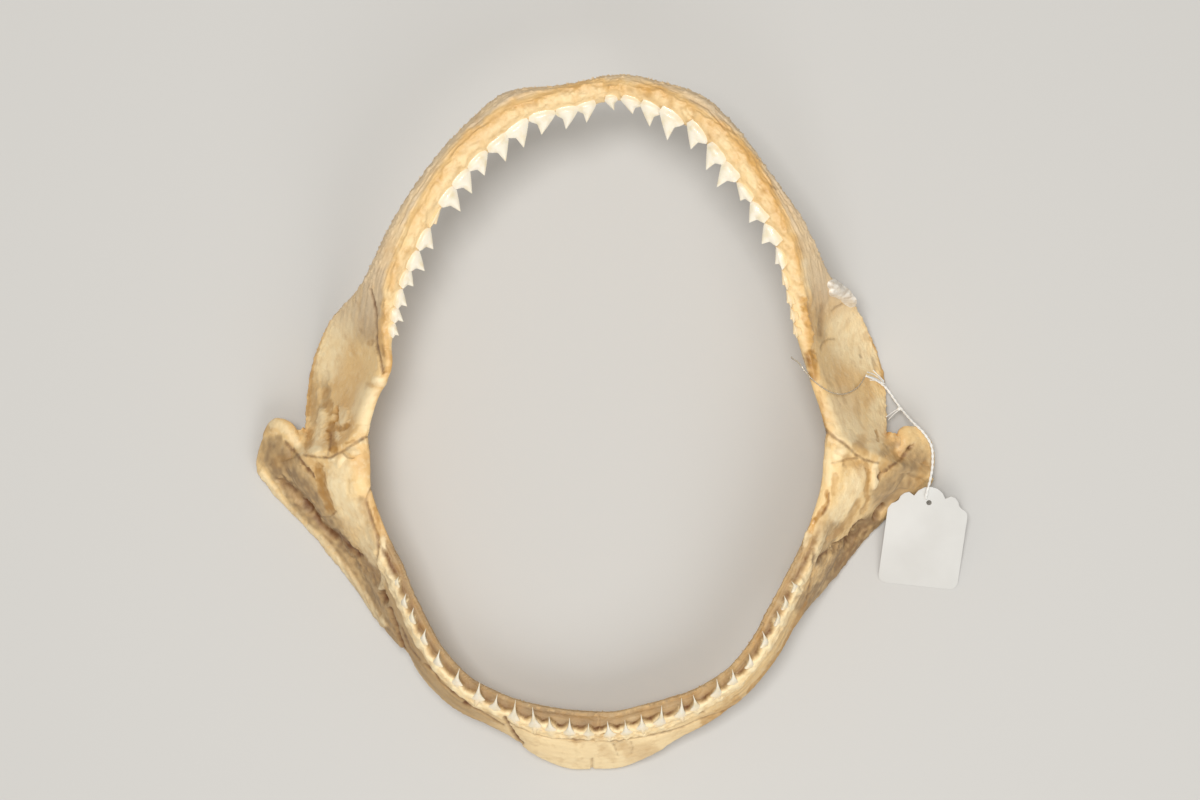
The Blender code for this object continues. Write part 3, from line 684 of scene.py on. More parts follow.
def paint(facts, masks, marks, seed):
    """Marks along lines of the photograph: a mask, its strength, half width in pixels and rise."""
    points = facts["points"]
    rise = np.zeros(len(points))
    wander = layered(points, seed, *MARK_WANDER)
    broken = MARK_STRENGTH + layered(points, seed + 3, MARK_BREAKS)
    for name, strength, width, height, line in marks:
        distance = from_line(facts["pixels"], line) + wander * min(LARGEST_WANDER, 0.5 * width)
        amount = (1 - step(*MARK_EDGES.get(name, SOFT_EDGES), distance / width)) * facts["top"]
        masks[name] = np.maximum(masks[name], strength * amount * broken)
        rise += height * amount
    return rise


def fibres(facts, long, thick, seed):
    """Noise drawn out along a half, as its dry fibres are."""
    drawn = np.stack((facts["along"] / long, facts["in_mm"] / thick, facts["normals"][:, 2]), axis=1)
    return lumps(drawn, 1.0, seed)


def dress(mesh, points, masks):
    """Puts a skin's points and masks in the model's frame."""
    set_co(mesh, (points - MIDDLE) * MM)
    for name, values in masks.items():
        write(mesh, name, np.clip(values, 0, 1))


def finish_half(name, mesh, points, masks, node_name):
    """A half as a piece, in place of its CAD node."""
    points[:, 2] = np.maximum(points[:, 2], 0.0)
    dress(mesh, points, masks)
    mesh.shade_smooth()
    piece = new_piece(name, mesh, cartilage)
    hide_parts(node_name)
    return piece


def walk(line, last, spaces):
    """Places along a line of a half, each at its own distance from the one before."""
    places = np.arange(0, last, WALK_STEP)
    return np.interp(np.cumsum(spaces), run_along(line(places)[:, 0:2]), places)


def between_teeth(facts, rows, places):
    """0 at a tooth and 1 half way to the next, and the distance from the nearest tooth."""
    at = np.interp(places, *line_run(rows))
    index = np.clip(np.searchsorted(at, facts["along"]), 1, len(at) - 1)
    gap = at[index] - at[index - 1]
    near = np.minimum(np.abs(facts["along"] - at[index]), np.abs(facts["along"] - at[index - 1]))
    return np.clip(2 * near / gap, 0, 1), near


# Forms of the upper relief, in mm from the inner edge: the gum's lip at a tooth and how much
# nearer it comes between teeth, and the bulge over each root with its width
LIP_BACK = 3.4
LIP_SCALLOP = 1.8
BULGE_BACK = 4.5
BULGE_WIDTH = 2.2
# How much gum there must be for its forms to start and to be whole, and between which
# cross-sections the tooth bar turns into the hinge plate
GUM_NEEDED = (0.8, 2.5)
UPPER_BAR_END = (8.2, 9.6)


def upper_relief(mesh, rows, gum_reach, places, marks, shares, seed):
    """Lip and ridge of dried gum, wrinkles, fibres and marks of an upper half."""
    facts, masks = skin_facts(mesh, rows)
    points = facts["points"]
    d = facts["in_mm"]
    top = facts["top"]
    reach = through([(g,) for g in gum_reach], facts["place"])[:, 0]
    past_gum = d - reach - layered(points, seed, (0.8, 2.4), (0.5, 6.0))
    has_gum = step(*GUM_NEEDED, reach) * top
    t, near = between_teeth(facts, rows, places)
    edge = LIP_BACK - LIP_SCALLOP * t * t + 0.35 * lumps(points, 1.4, seed + 2)
    in_gum = has_gum * (1 - step(-0.5, 0.7, past_gum))
    lip = in_gum * step(-1.0, 1.0, d - edge)
    wrinkle = lumps(points * (1, 1, 0.5), 1.9, seed + 3) + 0.7 * lumps(points, 0.9, seed + 4)
    root = has_gum * bell(near, 0, BULGE_WIDTH) * bell(d, BULGE_BACK, BULGE_WIDTH)
    stripe = has_gum * bell(past_gum, 0.4, 2.0)
    strands = fibres(facts, 7.0, 0.55, seed + 5)
    coarse = fibres(facts, 14.0, 1.4, seed + 6)
    bar = 1 - step(*UPPER_BAR_END, facts["place"])
    band = bar * has_gum * step(0.2, 1.6, past_gum)
    rim = top * (1 - step(1.0, 5.2, facts["out_mm"]))
    plate = top * (1 - bar)
    shred = np.maximum(lumps(points, 0.9, seed + 7), 0)
    # Each form with the height in mm that it adds
    rise = layered(points, seed + 8, (0.14, 3.5), (0.07, 1.1)) + sum(height * form for height, form in (
        (0.55, lip), (0.5, lip * wrinkle), (0.4, root), (0.5, stripe), (0.2, band * strands),
        (0.3, band * coarse), (0.15, band * shred), (0.55, rim * shred), (-0.1, rim),
        (0.06, plate * lumps(points, 0.8, seed + 10)), (0.3, plate * lumps(points, 9.0, seed + 15))))
    # How much of each form each mask covers
    pale_share, gum_share, gum_tint = shares
    # Painted shade: the lip's sunk wrinkles are drawn less pale and laid with streak brown
    sunk = step(0.4, 0.9, -wrinkle)
    masks["pale_and_highlight"] = np.maximum(pale_share * in_gum * step(0.4, 2.6, -past_gum) * (1 - 0.4 * sunk), 0.5 * root)
    masks["gum"] = (stripe * (gum_share + 0.35 * lumps(points, 6.0, seed + 11)) + gum_tint * in_gum
                    + 0.45 * lip * np.maximum(lumps(points, 3.0, seed + 12), 0))
    masks["rim"] = band * step(1.0, 3.4, past_gum) * np.clip(0.75 + 0.3 * coarse, 0, 1)
    cool = np.clip(0.25 * coarse + 0.35 * lumps(points, 5.0, seed + 13), 0, 1)
    masks["grey_and_shade"] = band * step(0.5, 3.0, past_gum) * cool
    masks["streak"] = 0.6 * band * np.clip(strands - 0.2, 0, 1) + 0.9 * lip * np.clip(-wrinkle - 0.4, 0, 1)
    masks["ochre"] = (0.4 * rim * bar * np.maximum(lumps(points, 4.0, seed + 14), 0)
                      + 0.25 * plate * step(0.25, 0.7, lumps(points, 5.0, seed + 16)))
    rise += paint(facts, masks, marks, seed + 20)
    return points + facts["normals"] * rise[:, None], masks


def upper_half(name, rows, gum_reach, teeth, marks, shares, side, node_name):
    mesh = half_skin(name, rows, *UPPER_GRID, -side * FRONT_LAP, GAP / 2)
    places = walk(lambda at: through(rows, at), LAST_UPPER_PLACE, [space for space, height in teeth])
    relief = upper_relief(mesh, rows, gum_reach, places, marks, shares, UPPER_SEED)
    return finish_half(name, mesh, *relief, node_name)


# How pale the gum by the teeth is, how strong its orange stripe and how orange all of it
SHARES_LEFT = (0.48, 0.42, 0.06)
SHARES_RIGHT = (0.45, 0.5, 0.16)
upper_left = upper_half("upper_half_left", UPPER_LEFT, GUM_LEFT, UPPER_LEFT_TEETH, UPPER_LEFT_MARKS,
                        SHARES_LEFT, -1, "upper_jaw_left")
upper_right = upper_half("upper_half_right", UPPER_RIGHT, GUM_RIGHT, UPPER_RIGHT_TEETH,
                         UPPER_RIGHT_MARKS, SHARES_RIGHT, 1, "upper_jaw_right")

# Upper teeth
# Broad oblique blades of ivory enamel with a notched heel on the hinge side, sunk into the dried
# gum by their roots. Enamel is smooth with a thin gloss, lets a little light in and is stained
# towards the root.
IVORY = "#E8DFCB"
IVORY_LIGHT = "#E9E0CC"
IVORY_DARK = "#DFD0AE"
ROOT_STAIN = "#F0D3A0"
ENAMEL_MOTTLES = (3.85, 0.48, 0.72)
BLADE_THICK = 2.0
BLADE_LEVELS = 30
BLADE_POINTS = 7
WIDEST_BLADE = 10.2
BLADE_OVERLAP = 1.04
ROOT_BACK = 1.3
SERRATION = 0.008
TIP_SHARE = 0.18
TIP_RISE = 0.9
FOOT_RISE = 1.5
WORN_HEIGHT = 1.5
WORN_STAIN = 0.7
ROOT_SINK = 0.35
# A blade's least half thickness in mm, and the share of its bulge that its far side has
BLADE_EDGE = 0.02
FAR_BULGE = 0.6
# The first blade's most width for each mm of space before it
FIRST_SHARE = 1.5
# How far along a half, counted in cross-sections, the next point of its edge is looked at
NEXT_PLACE = 0.03
# A blade's two edges, in widths from its middle, at heights counted from the gum to the tip
PLAIN_EDGE = ((-1, -0.2, 0.0, 0.3, 0.6, 1.0), (-0.36, -0.5, -0.53, -0.34, -0.13, TIP_SHARE))
NOTCHED_EDGE = ((-1, -0.2, 0.0, 0.08, 0.18, 0.30, 0.36, 0.66, 1.0),
                (0.30, 0.44, 0.48, 0.46, 0.38, 0.26, 0.22, 0.205, TIP_SHARE + 0.01))
MOUTH_MIDDLE = Vector((0, 40, 0))

enamel, tree, shader = new_material("ivory_enamel", IVORY, roughness=0.38)
painted(tree, shader, IVORY_LIGHT, (patches(tree, *ENAMEL_MOTTLES), IVORY_DARK), ("root", ROOT_STAIN))
shader.inputs["Subsurface Weight"].default_value = 0.12
shader.inputs["Subsurface Radius"].default_value = (0.002, 0.0015, 0.001)
shader.inputs["Coat Weight"].default_value = 0.1


def face_point(rows, place, in_mm):
    """A point on the camera side of a half, so many mm from its inner edge."""
    values = through(rows, [place])
    span = np.linalg.norm(values[:, 3:5] - values[:, 0:2], axis=1)
    return Vector(section_points(rows, [place], in_mm / span, np.zeros(1, bool))[0][0])


def outward_at(values):
    """The way across a half from its inner to its outer edge, seen from above."""
    return Vector((values[3] - values[0], values[4] - values[1], 0)).normalized()


def add_ring(form, layer, points, root):
    ring = [form.verts.new(point) for point in points]
    for vert in ring:
        vert[layer] = root
    return ring


def add_blade(form, layer, foot, root, tip, along, width, thick, stain, draw):
    """One blade, built up in rings from its root to its tip."""
    rise = tip - root
    edge = (foot - root).dot(rise) / rise.length_squared
    face = along.cross(rise).normalized()
    if face.z < 0:
        face = -face
    curve = draw.uniform(0.0, 0.05)
    rings = []
    for i in range(BLADE_LEVELS):
        q = i / (BLADE_LEVELS - 1)
        b = (q - edge) / (1 - edge)
        above = max(b, 0)
        notch = SERRATION * (1 if i % 2 else -1) * (0.1 < b < 0.96)
        left = np.interp(b, *PLAIN_EDGE) + curve * above * (1 - above) - notch
        right = np.interp(b, *NOTCHED_EDGE) + notch
        deep = thick / 2 * max(1 - above ** 1.3, 0) ** 0.8 * (0.35 + 0.65 * step(0, 0.25, q))
        shares = np.linspace(-1, 1, BLADE_POINTS)
        points = []
        for c, bulge in [(c, 1) for c in shares] + [(c, -FAR_BULGE) for c in shares[-2:0:-1]]:
            lens = deep * max(1 - c * c, 0) ** 0.7 * bulge + math.copysign(BLADE_EDGE, bulge)
            beside = width * (left + right + c * (right - left)) / 2
            points.append(root + rise * q + along * beside + face * lens)
        rings.append(add_ring(form, layer, points, max(stain, float(1 - step(-1.0, 0.15, b)))))
    loft(form, rings)


def sheet_mesh(name, form):
    """The mesh of a closed form that was made in millimetres on the sheet."""
    bmesh.ops.recalc_face_normals(form, faces=form.faces)
    for vert in form.verts:
        vert.co = metres(vert.co)
    return mesh_of(name, form)


def finish_teeth(name, form):
    mesh = sheet_mesh(name, form)
    mesh.shade_smooth()
    mesh.set_sharp_from_angle(angle=math.radians(55))
    new_piece(name, mesh, enamel)


def upper_teeth(name, rows, sizes, seed):
    """The front row of one upper half, as one piece."""
    draw = random.Random(seed)
    form = bmesh.new()
    layer = form.verts.layers.float.new("root")
    spaces = [space for space, height in sizes]
    places = walk(lambda at: through(rows, at), LAST_UPPER_PLACE, spaces)
    spaces.append(spaces[-1])
    for i, (place, (_, height)) in enumerate(zip(places, sizes)):
        foot = Vector(through(rows, [place])[0, 0:3])
        ahead = Vector(through(rows, [place + NEXT_PLACE])[0, 0:3])
        along = Vector((ahead.x - foot.x, ahead.y - foot.y, 0)).normalized()
        inward = Vector((along.y, -along.x, 0))
        if inward.dot(MOUTH_MIDDLE - foot) < 0:
            inward = -inward
        worn = height < WORN_HEIGHT
        back = ROOT_BACK * min(1.0, 0.5 + height / 9) * (0.5 if worn else 1)
        root = face_point(rows, place, back) - UP * ROOT_SINK
        tip = foot + inward * height + UP * TIP_RISE
        width = min((spaces[max(i, 1)] + spaces[i + 1]) / 2, WIDEST_BLADE) * BLADE_OVERLAP
        if i == 0:
            width = min(width, FIRST_SHARE * spaces[0])
        add_blade(form, layer, foot + UP * FOOT_RISE, root, tip, along, width,
                  BLADE_THICK * draw.uniform(0.85, 1.1), WORN_STAIN if worn else 0.0, draw)
    finish_teeth(name, form)


upper_teeth("upper_teeth_left", UPPER_LEFT, UPPER_LEFT_TEETH, 11)
upper_teeth("upper_teeth_right", UPPER_RIGHT, UPPER_RIGHT_TEETH, 12)

# Lower jaw
# The two halves are lofted in the same way, from the chin to the blade behind the hinge, and
# each has the lobe behind its hinge grown onto it. The bar carries a row of shallow sockets
# between its teeth, a pale bed that the teeth stand on, and a crease on its outer side.
LOWER_FRONT = -1.2
LOWER_GRID = (360, 150)
LOBE_GRID = (50, 60)
LOWER_SEED = 3
CHIN_LAP = 1.2
# The face size in mm of the remade skin, how often it is evened out, how many points of the old
# skin each new one takes its measures from, and what is added to their distances in mm
SKIN_GRAIN = 0.55
EVEN_TURNS = 4
NEAR_POINTS = 4
NEAREST = 0.02
# How far in from the inner edge the teeth stand, how much further at the chin, and how far to
# each side the chin reaches
TAN_WALL = 5.1
CHIN_WALL = 3.4
CHIN_REACH = 38.0
# The shares across a half between which its tooth line is looked for, and in how many steps
BED_SEARCH = (0.02, 0.6, 40)

LOWER_LEFT = (
    section((LOWER_FRONT, -121.6, 26), (LOWER_FRONT, -146.9, -0.5), (13, 11, 6)),
    section((-14.0, -120.6, 26), (-13.4, -146.6, -0.5), (13, 11, 6)),
    section((-26.0, -118.4, 27), (-26.0, -140.6, 4), (12, 11, 6)),
    section((-33.4, -116.2, 28), (-35.4, -132.8, 7), (11, 10, 7)),
    section((-41.0, -112.8, 30), (-44.6, -127.8, 8), (10, 10, 7)),
    section((-50.2, -107.4, 33), (-57.4, -121.6, 8), (10, 10, 7)),
    section((-58.6, -98.0, 38), (-68.2, -111.4, 9), (10, 10, 7)),
    section((-64.4, -88.6, 41), (-75.8, -101.0, 8), (10, 9, 6)),
    section((-71.2, -74.2, 44), (-86.4, -89.6, 3), (10, 8, 5)),
    section((-75.6, -62.6, 46), (-95.3, -76.6, -0.5), (10, 7, 4), crease=1.5),
    section((-80.2, -53.4, 47), (-104.4, -65.4, -1), (10, 7, 4), crease=2.5),
    section((-84.6, -42.4, 48), (-117.2, -50.0, -1), (9, 8, 4), bow=2, crease=3.5),
    section((-87.4, -33.0, 49), (-130.4, -36.4, -0.5), (10, 9, 4), bow=2, crease=3.5),
    section((-87.6, -22.4, 49), (-136.2, -29.6, 1), (11, 11, 4), bow=1, crease=3),
    section((-88.6, -13.8, 49), (-136.4, -27.3, 3), (11, 12, 5), crease=1.5),
)

LOWER_RIGHT = (
    section((LOWER_FRONT, -121.6, 26), (LOWER_FRONT, -146.9, -0.5), (13, 11, 6)),
    section((6.4, -121.4, 26), (8.8, -146.2, -0.5), (13, 11, 6)),
    section((17.0, -118.8, 27), (20.3, -140.8, 4), (12, 11, 6)),
    section((27.2, -115.8, 29), (31.8, -133.2, 7), (11, 10, 7)),
    section((37.0, -112.0, 31), (43.8, -126.4, 9), (10, 10, 7)),
    section((49.4, -103.6, 36), (57.6, -115.4, 12), (10, 10, 7)),
    section((58.4, -91.6, 42), (69.0, -100.8, 15), (10, 10, 7)),
    section((64.0, -80.8, 45), (77.4, -87.4, 12), (10, 9, 6)),
    section((70.4, -68.2, 47), (88.4, -75.6, 4), (10, 8, 5)),
    section((74.2, -60.6, 48), (97.8, -66.0, -0.5), (10, 7, 4), crease=1.5),
    section((78.4, -51.2, 49), (109.0, -52.6, -1), (10, 7, 4), crease=2.5),
    section((82.2, -40.2, 49), (122.0, -40.4, -1), (9, 8, 4), bow=2, crease=3.5),
    section((84.4, -31.4, 49), (128.4, -37.4, -0.5), (10, 9, 4), bow=2, crease=3.5),
    section((85.2, -22.6, 49), (131.6, -34.4, 0.5), (11, 11, 4), bow=1, crease=3),
    section((86.3, -12.5, 49), (133.0, -31.0, 4), (11, 12, 5), crease=1.5),
)

# The lobe that stands out behind each hinge, rooted in the end of the lower jaw's blade
LOBE_LEFT = (
    section((-113.0, -33.0, 19), (-131.0, -35.0, 2.5), (5, 5, 3)),
    section((-119.0, -23.0, 18), (-136.4, -26.4, 3.5), (7, 7, 4.5)),
    section((-118.4, -14.6, 17), (-134.0, -15.4, 5), (8, 7.5, 5)),
    section((-121.0, -9.6, 15), (-131.2, -9.6, 8), (7, 6, 4)),
    section((-124.6, -7.4, 13.5), (-128.0, -7.2, 11), (2.5, 2.5, 2)),
)
LOBE_RIGHT = (
    section((112.0, -34.0, 19), (129.0, -36.0, 2.5), (5, 5, 3)),
    section((114.6, -25.0, 18), (132.8, -27.0, 3.5), (7, 7, 4.5)),
    section((116.4, -17.0, 17), (132.0, -18.0, 6), (8, 7.5, 5)),
    section((117.6, -12.2, 15), (129.0, -13.0, 8.5), (7, 6, 4)),
    section((120.4, -10.2, 14), (125.2, -10.4, 11), (2.5, 2.5, 2)),
)

# Each lower tooth's distance along the top of the bar from the one before
LOWER_LEFT_SPACES = (3.3, 7.4, 7.6, 6.3, 9.0, 8.8, 7.6, 10.7, 10.6, 10.6, 9.3, 6.8, 8.7)
LOWER_RIGHT_SPACES = (4.9, 6.9, 6.5, 7.4, 8.6, 6.9, 10.1, 7.9, 9.3, 10.5, 9.8, 7.0, 7.7)

LOWER_LEFT_MARKS = (
    # Painted shade: grey over the blade plane, which lies in shade, besides its own grey-brown
    ("grey_and_shade", 1.0, 14.0, 0.0, ((274, 452), (288, 475), (308, 498))),
    ("grey_and_shade", 0.9, 10.0, 0.0, ((312, 498), (334, 532), (352, 560), (376, 596), (398, 634))),
    ("grey_and_shade", 0.45, 5.0, 0.3, ((264, 430), (272, 426))),
    ("grey_and_shade", 0.8, 5.0, 0.0, ((278, 440), (290, 450), (298, 462))),
    ("pale_and_highlight", 0.6, 4.0, 0.3, ((270, 422), (286, 429), (297, 442), (302, 452))),
    ("grey_and_shade", 0.9, 7.0, 0.0, ((270, 462), (284, 484), (300, 506), (316, 522), (332, 538))),
    ("ochre", 0.35, 7.0, 0.0, ((278, 461), (284, 462))),
    ("pale_and_highlight", 0.75, 2.6, 0.9, ((262, 472), (284, 503), (304, 524), (321, 538), (352, 578), (384, 624))),
    # Painted shade in the blade's valley, in its hole and along the groove on from it
    ("shade_and_brown_line", 0.5, 5.0, -1.6, ((282, 482), (296, 496), (310, 508))),
    ("shade_and_brown_line", 0.4, 5.5, -1.2, ((356, 556), (368, 568), (378, 580))),
    ("shade_and_brown_line", 1.0, 3.4, -1.2, ((304, 503), (314, 513), (322, 527), (333, 534), (341, 539), (350, 549),
                              (358, 557))),
    ("shade_and_brown_line", 0.8, 1.8, -0.6, ((284, 441), (296, 453), (304, 464), (313, 477))),
    ("shade_and_brown_line", 1.0, 3.0, -2.6, ((382, 593), (385, 600))),
    ("shade_and_brown_line", 1.0, 1.9, -1.8, ((389, 609), (397, 630), (404, 650), (411, 664))),
    # Painted highlight on the plate below the hinge
    ("pale_and_highlight", 0.9, 10.0, 0.6, ((342, 466), (338, 486), (346, 503), (355, 518))),
    ("pale_and_highlight", 0.6, 7.0, 0.4, ((358, 525), (368, 545), (374, 560))),
    ("gum", 0.3, 6.0, 0.0, ((346, 522), (356, 532))),
    ("gum", 0.35, 5.0, 0.0, ((352, 452), (354, 464))),
    ("ochre", 0.95, 4.6, -0.3, ((318, 467), (321, 482), (326, 497), (331, 511))),
    ("shade_and_brown_line", 0.5, 0.9, -0.3, ((323, 517), (330, 517), (337, 511))),
    ("grey_and_shade", 0.6, 4.0, -0.3, ((325, 522), (336, 522))),
    ("grey_and_shade", 0.6, 4.2, -0.3, ((361, 500), (369, 522), (375, 545))),
    ("shade_and_brown_line", 0.6, 1.3, -0.6, ((372, 487), (366, 500), (371, 518), (377, 536), (379, 555), (379, 575))),
    ("ochre", 0.7, 2.2, 0.0, ((375, 508), (378, 520), (378, 533))),
    ("pale_and_highlight", 0.8, 2.6, 0.5, ((383, 540), (383, 556), (382, 575), (381, 588))),
    ("grey_and_shade", 0.6, 5.0, 0.0, ((391, 556), (395, 576), (401, 598))),
    ("shade_and_brown_line", 0.75, 1.0, -0.5, ((424, 664), (433, 671), (441, 683), (455, 694), (466, 702), (478, 710),
                               (490, 717), (503, 725))),
    ("shade_and_brown_line", 1.0, 1.8, -1.0, ((464, 703), (469, 706))),
    ("shade_and_brown_line", 0.6, 1.0, -0.3, ((402, 628), (410, 648), (420, 660))),
    ("shade_and_brown_line", 0.9, 1.5, -1.1, ((505, 716), (509, 726), (515, 736), (522, 744))),
    ("grey_and_shade", 0.55, 5.0, 0.0, ((430, 682), (450, 704), (480, 722), (508, 736))),
    ("shade_and_brown_line", 0.6, 0.9, -0.5, ((506, 718), (520, 728), (534, 734), (552, 738), (575, 739), (596, 740))),
    ("pale_and_highlight", 0.6, 7.0, 0.2, ((535, 745), (560, 755), (585, 752))),
    ("pale_and_highlight", 0.6, 2.2, 0.3, ((578, 746), (580, 758))),
    ("shade_and_brown_line", 0.5, 1.3, -0.8, ((592, 759), (592, 768))),
    ("ochre", 0.3, 2.0, -0.2, ((573, 740), (576, 744))),
    ("shade_and_brown_line", 0.4, 1.0, -0.4, ((386, 546), (388, 552), (392, 560))),
)
LOWER_RIGHT_MARKS = (
    ("grey_and_shade", 0.8, 15.0, 0.0, ((915, 460), (900, 484), (885, 495))),
    # Painted shade: grey and dark over the blade behind the groove
    ("grey_and_shade", 1.0, 10.0, 0.0, ((872, 524), (850, 550), (824, 586), (806, 606))),
    ("shade_and_brown_line", 0.3, 8.0, -0.6, ((868, 528), (856, 546), (842, 564))),
    ("ochre", 0.5, 6.0, 0.0, ((924, 468), (921, 478))),
    ("shade_and_brown_line", 0.9, 2.2, -1.0, ((908, 449), (911, 447))),
    ("shade_and_brown_line", 0.7, 1.5, -0.8, ((914, 445), (906, 452), (902, 458), (896, 463), (890, 467))),
    ("shade_and_brown_line", 0.85, 2.0, -0.9, ((886, 470), (879, 477))),
    ("ochre", 0.45, 7.0, -0.2, ((896, 458), (884, 470))),
    ("ochre", 0.75, 2.4, -0.3, ((866, 464), (869, 476), (866, 490), (868, 500), (862, 512))),
    ("pale_and_highlight", 0.95, 2.6, 0.8, ((876, 464), (875, 474), (874, 486))),
    # Painted highlight: the bright strip down the plate
    ("pale_and_highlight", 0.85, 8.0, 0.6, ((858, 474), (852, 490), (843, 504), (837, 514))),
    ("gum", 0.3, 6.0, 0.0, ((860, 466), (866, 480))),
    ("ochre", 0.6, 3.6, -0.2, ((858, 502), (852, 513), (846, 524), (836, 534))),
    ("gum", 0.6, 2.5, 0.0, ((838, 532), (828, 540))),
    ("ochre", 0.5, 6.0, 0.0, ((848, 460), (856, 464))),
    ("grey_and_shade", 0.8, 7.0, 0.0, ((836, 526), (825, 543), (818, 560))),
    ("shade_and_brown_line", 1.0, 2.6, -2.4, ((883, 506), (877, 513), (876, 519))),
    ("shade_and_brown_line", 0.8, 2.8, -1.6, ((862, 522), (853, 530), (852, 538), (840, 544), (829, 553), (820, 560))),
    ("shade_and_brown_line", 0.4, 5.0, -1.0, ((862, 530), (850, 540), (836, 548))),
    ("ochre", 0.55, 3.0, -0.3, ((836, 476), (834, 486), (833, 494))),
    ("pale_and_highlight", 0.7, 5.0, 0.3, ((842, 450), (838, 456))),
    ("shade_and_brown_line", 0.5, 1.2, -0.4, ((832, 463), (842, 461), (848, 459), (858, 458))),
    ("shade_and_brown_line", 0.5, 1.6, -0.4, ((844, 465), (846, 466))),
    ("pale_and_highlight", 0.6, 3.0, 0.2, ((828, 450), (829, 470), (828, 484))),
    ("ochre", 1.0, 2.6, -0.4, ((827, 492), (828, 501), (822, 512), (815, 520))),
    ("shade_and_brown_line", 0.6, 1.1, -0.5, ((829, 493), (829, 504), (823, 514))),
    ("gum", 1.0, 2.4, -0.2, ((813, 521), (811, 531))),
    ("pale_and_highlight", 0.85, 2.6, 0.4, ((808, 535), (806, 545))),
    ("grey_and_shade", 0.5, 6.0, 0.0, ((826, 515), (820, 535), (818, 556))),
    ("shade_and_brown_line", 0.6, 1.2, -0.5, ((815, 538), (814, 548), (812, 560), (811, 580), (807, 598))),
    ("shade_and_brown_line", 0.4, 0.8, -0.4, ((802, 545), (800, 556), (796, 566), (797, 574))),
    ("shade_and_brown_line", 0.4, 0.8, -0.4, ((793, 580), (797, 585), (800, 592), (795, 597))),
    ("shade_and_brown_line", 0.4, 0.8, -0.4, ((806, 555), (803, 566), (802, 580))),
    ("ochre", 0.8, 2.0, 0.0, ((806, 602), (797, 620), (788, 640), (776, 658), (766, 672), (748, 692))),
    ("shade_and_brown_line", 0.6, 0.9, -0.5, ((604, 740), (628, 739), (650, 736), (668, 732), (684, 727), (694, 722))),
    ("shade_and_brown_line", 0.35, 0.8, -0.3, ((694, 722), (708, 716), (720, 713), (734, 706))),
    ("shade_and_brown_line", 0.7, 1.5, -0.5, ((700, 711), (703, 712))),
    ("ochre", 0.4, 4.0, -0.2, ((618, 748), (624, 746), (630, 752))),
    ("shade_and_brown_line", 0.4, 1.0, -0.2, ((613, 744), (616, 750), (618, 756))),
    ("shade_and_brown_line", 0.35, 1.0, -0.2, ((631, 742), (633, 748), (631, 754))),
    ("pale_and_highlight", 0.5, 6.0, 0.3, ((644, 748), (658, 744))),
    ("gum", 0.5, 5.0, 0.0, ((690, 738), (710, 728), (726, 716))),
    ("ochre", 0.65, 6.0, 0.0, ((706, 723), (724, 713), (738, 702))),
    ("ochre", 0.3, 9.0, 0.0, ((632, 752), (650, 750))),
    ("ochre", 0.3, 5.0, 0.0, ((604, 750), (612, 756))),
)


def grown_together(name, first, second, grain):
    """Two closed skins as one, remade as an even skin of small faces."""
    form = bmesh.new()
    form.from_mesh(first)
    form.from_mesh(second)
    block = add_object(name, mesh_of(name, form))
    remake = block.modifiers.new("skin", "REMESH")
    remake.mode = "VOXEL"
    remake.voxel_size = grain
    even = block.modifiers.new("even", "SMOOTH")
    even.factor = 0.5
    even.iterations = EVEN_TURNS
    scene_now = bpy.context.evaluated_depsgraph_get()
    mesh = bpy.data.meshes.new_from_object(block.evaluated_get(scene_now))
    bpy.data.objects.remove(block)
    return mesh


def borrow(mesh, source, names):
    """Carries a skin's measures over to a remade one from the points near each."""
    tree = KDTree(len(source.vertices))
    for vert in source.vertices:
        tree.insert(vert.co, vert.index)
    tree.balance()
    values = {name: read(source, name) for name in names}
    result = {name: np.zeros(len(mesh.vertices)) for name in names}
    for vert in mesh.vertices:
        near = tree.find_n(vert.co, NEAR_POINTS)
        weights = [1 / (distance + NEAREST) for place, index, distance in near]
        whole = sum(weights)
        for name in names:
            result[name][vert.index] = sum(w * values[name][n[1]] for w, n in zip(weights, near)) / whole
    for name in names:
        write(mesh, name, result[name])


def at_chin(points):
    """1 at the chin, and down to 0 on both sides of it."""
    return np.exp(-(points[:, 0] / CHIN_REACH) ** 4)


# How far the sockets reach from the inner edge in mm, what they reach further at the chin,
# between teeth and past the last tooth, and the same for the outer brim of the bed
CUP_REACH = 3.2
CUP_AT_CHIN = 1.2
CUP_BETWEEN = 2.1
CUP_BARE = 1.5
BED_REACH = TAN_WALL + 3.6
BED_AT_CHIN = 3.4
CUP_DEPTH = 1.5
# Between which cross-sections the bar turns into the blade, and how far from a tooth its
# socket is whole and gone
LOWER_BAR_END = (9.6, 10.6)
TOOTHED_REACH = (7.0, 10.0)


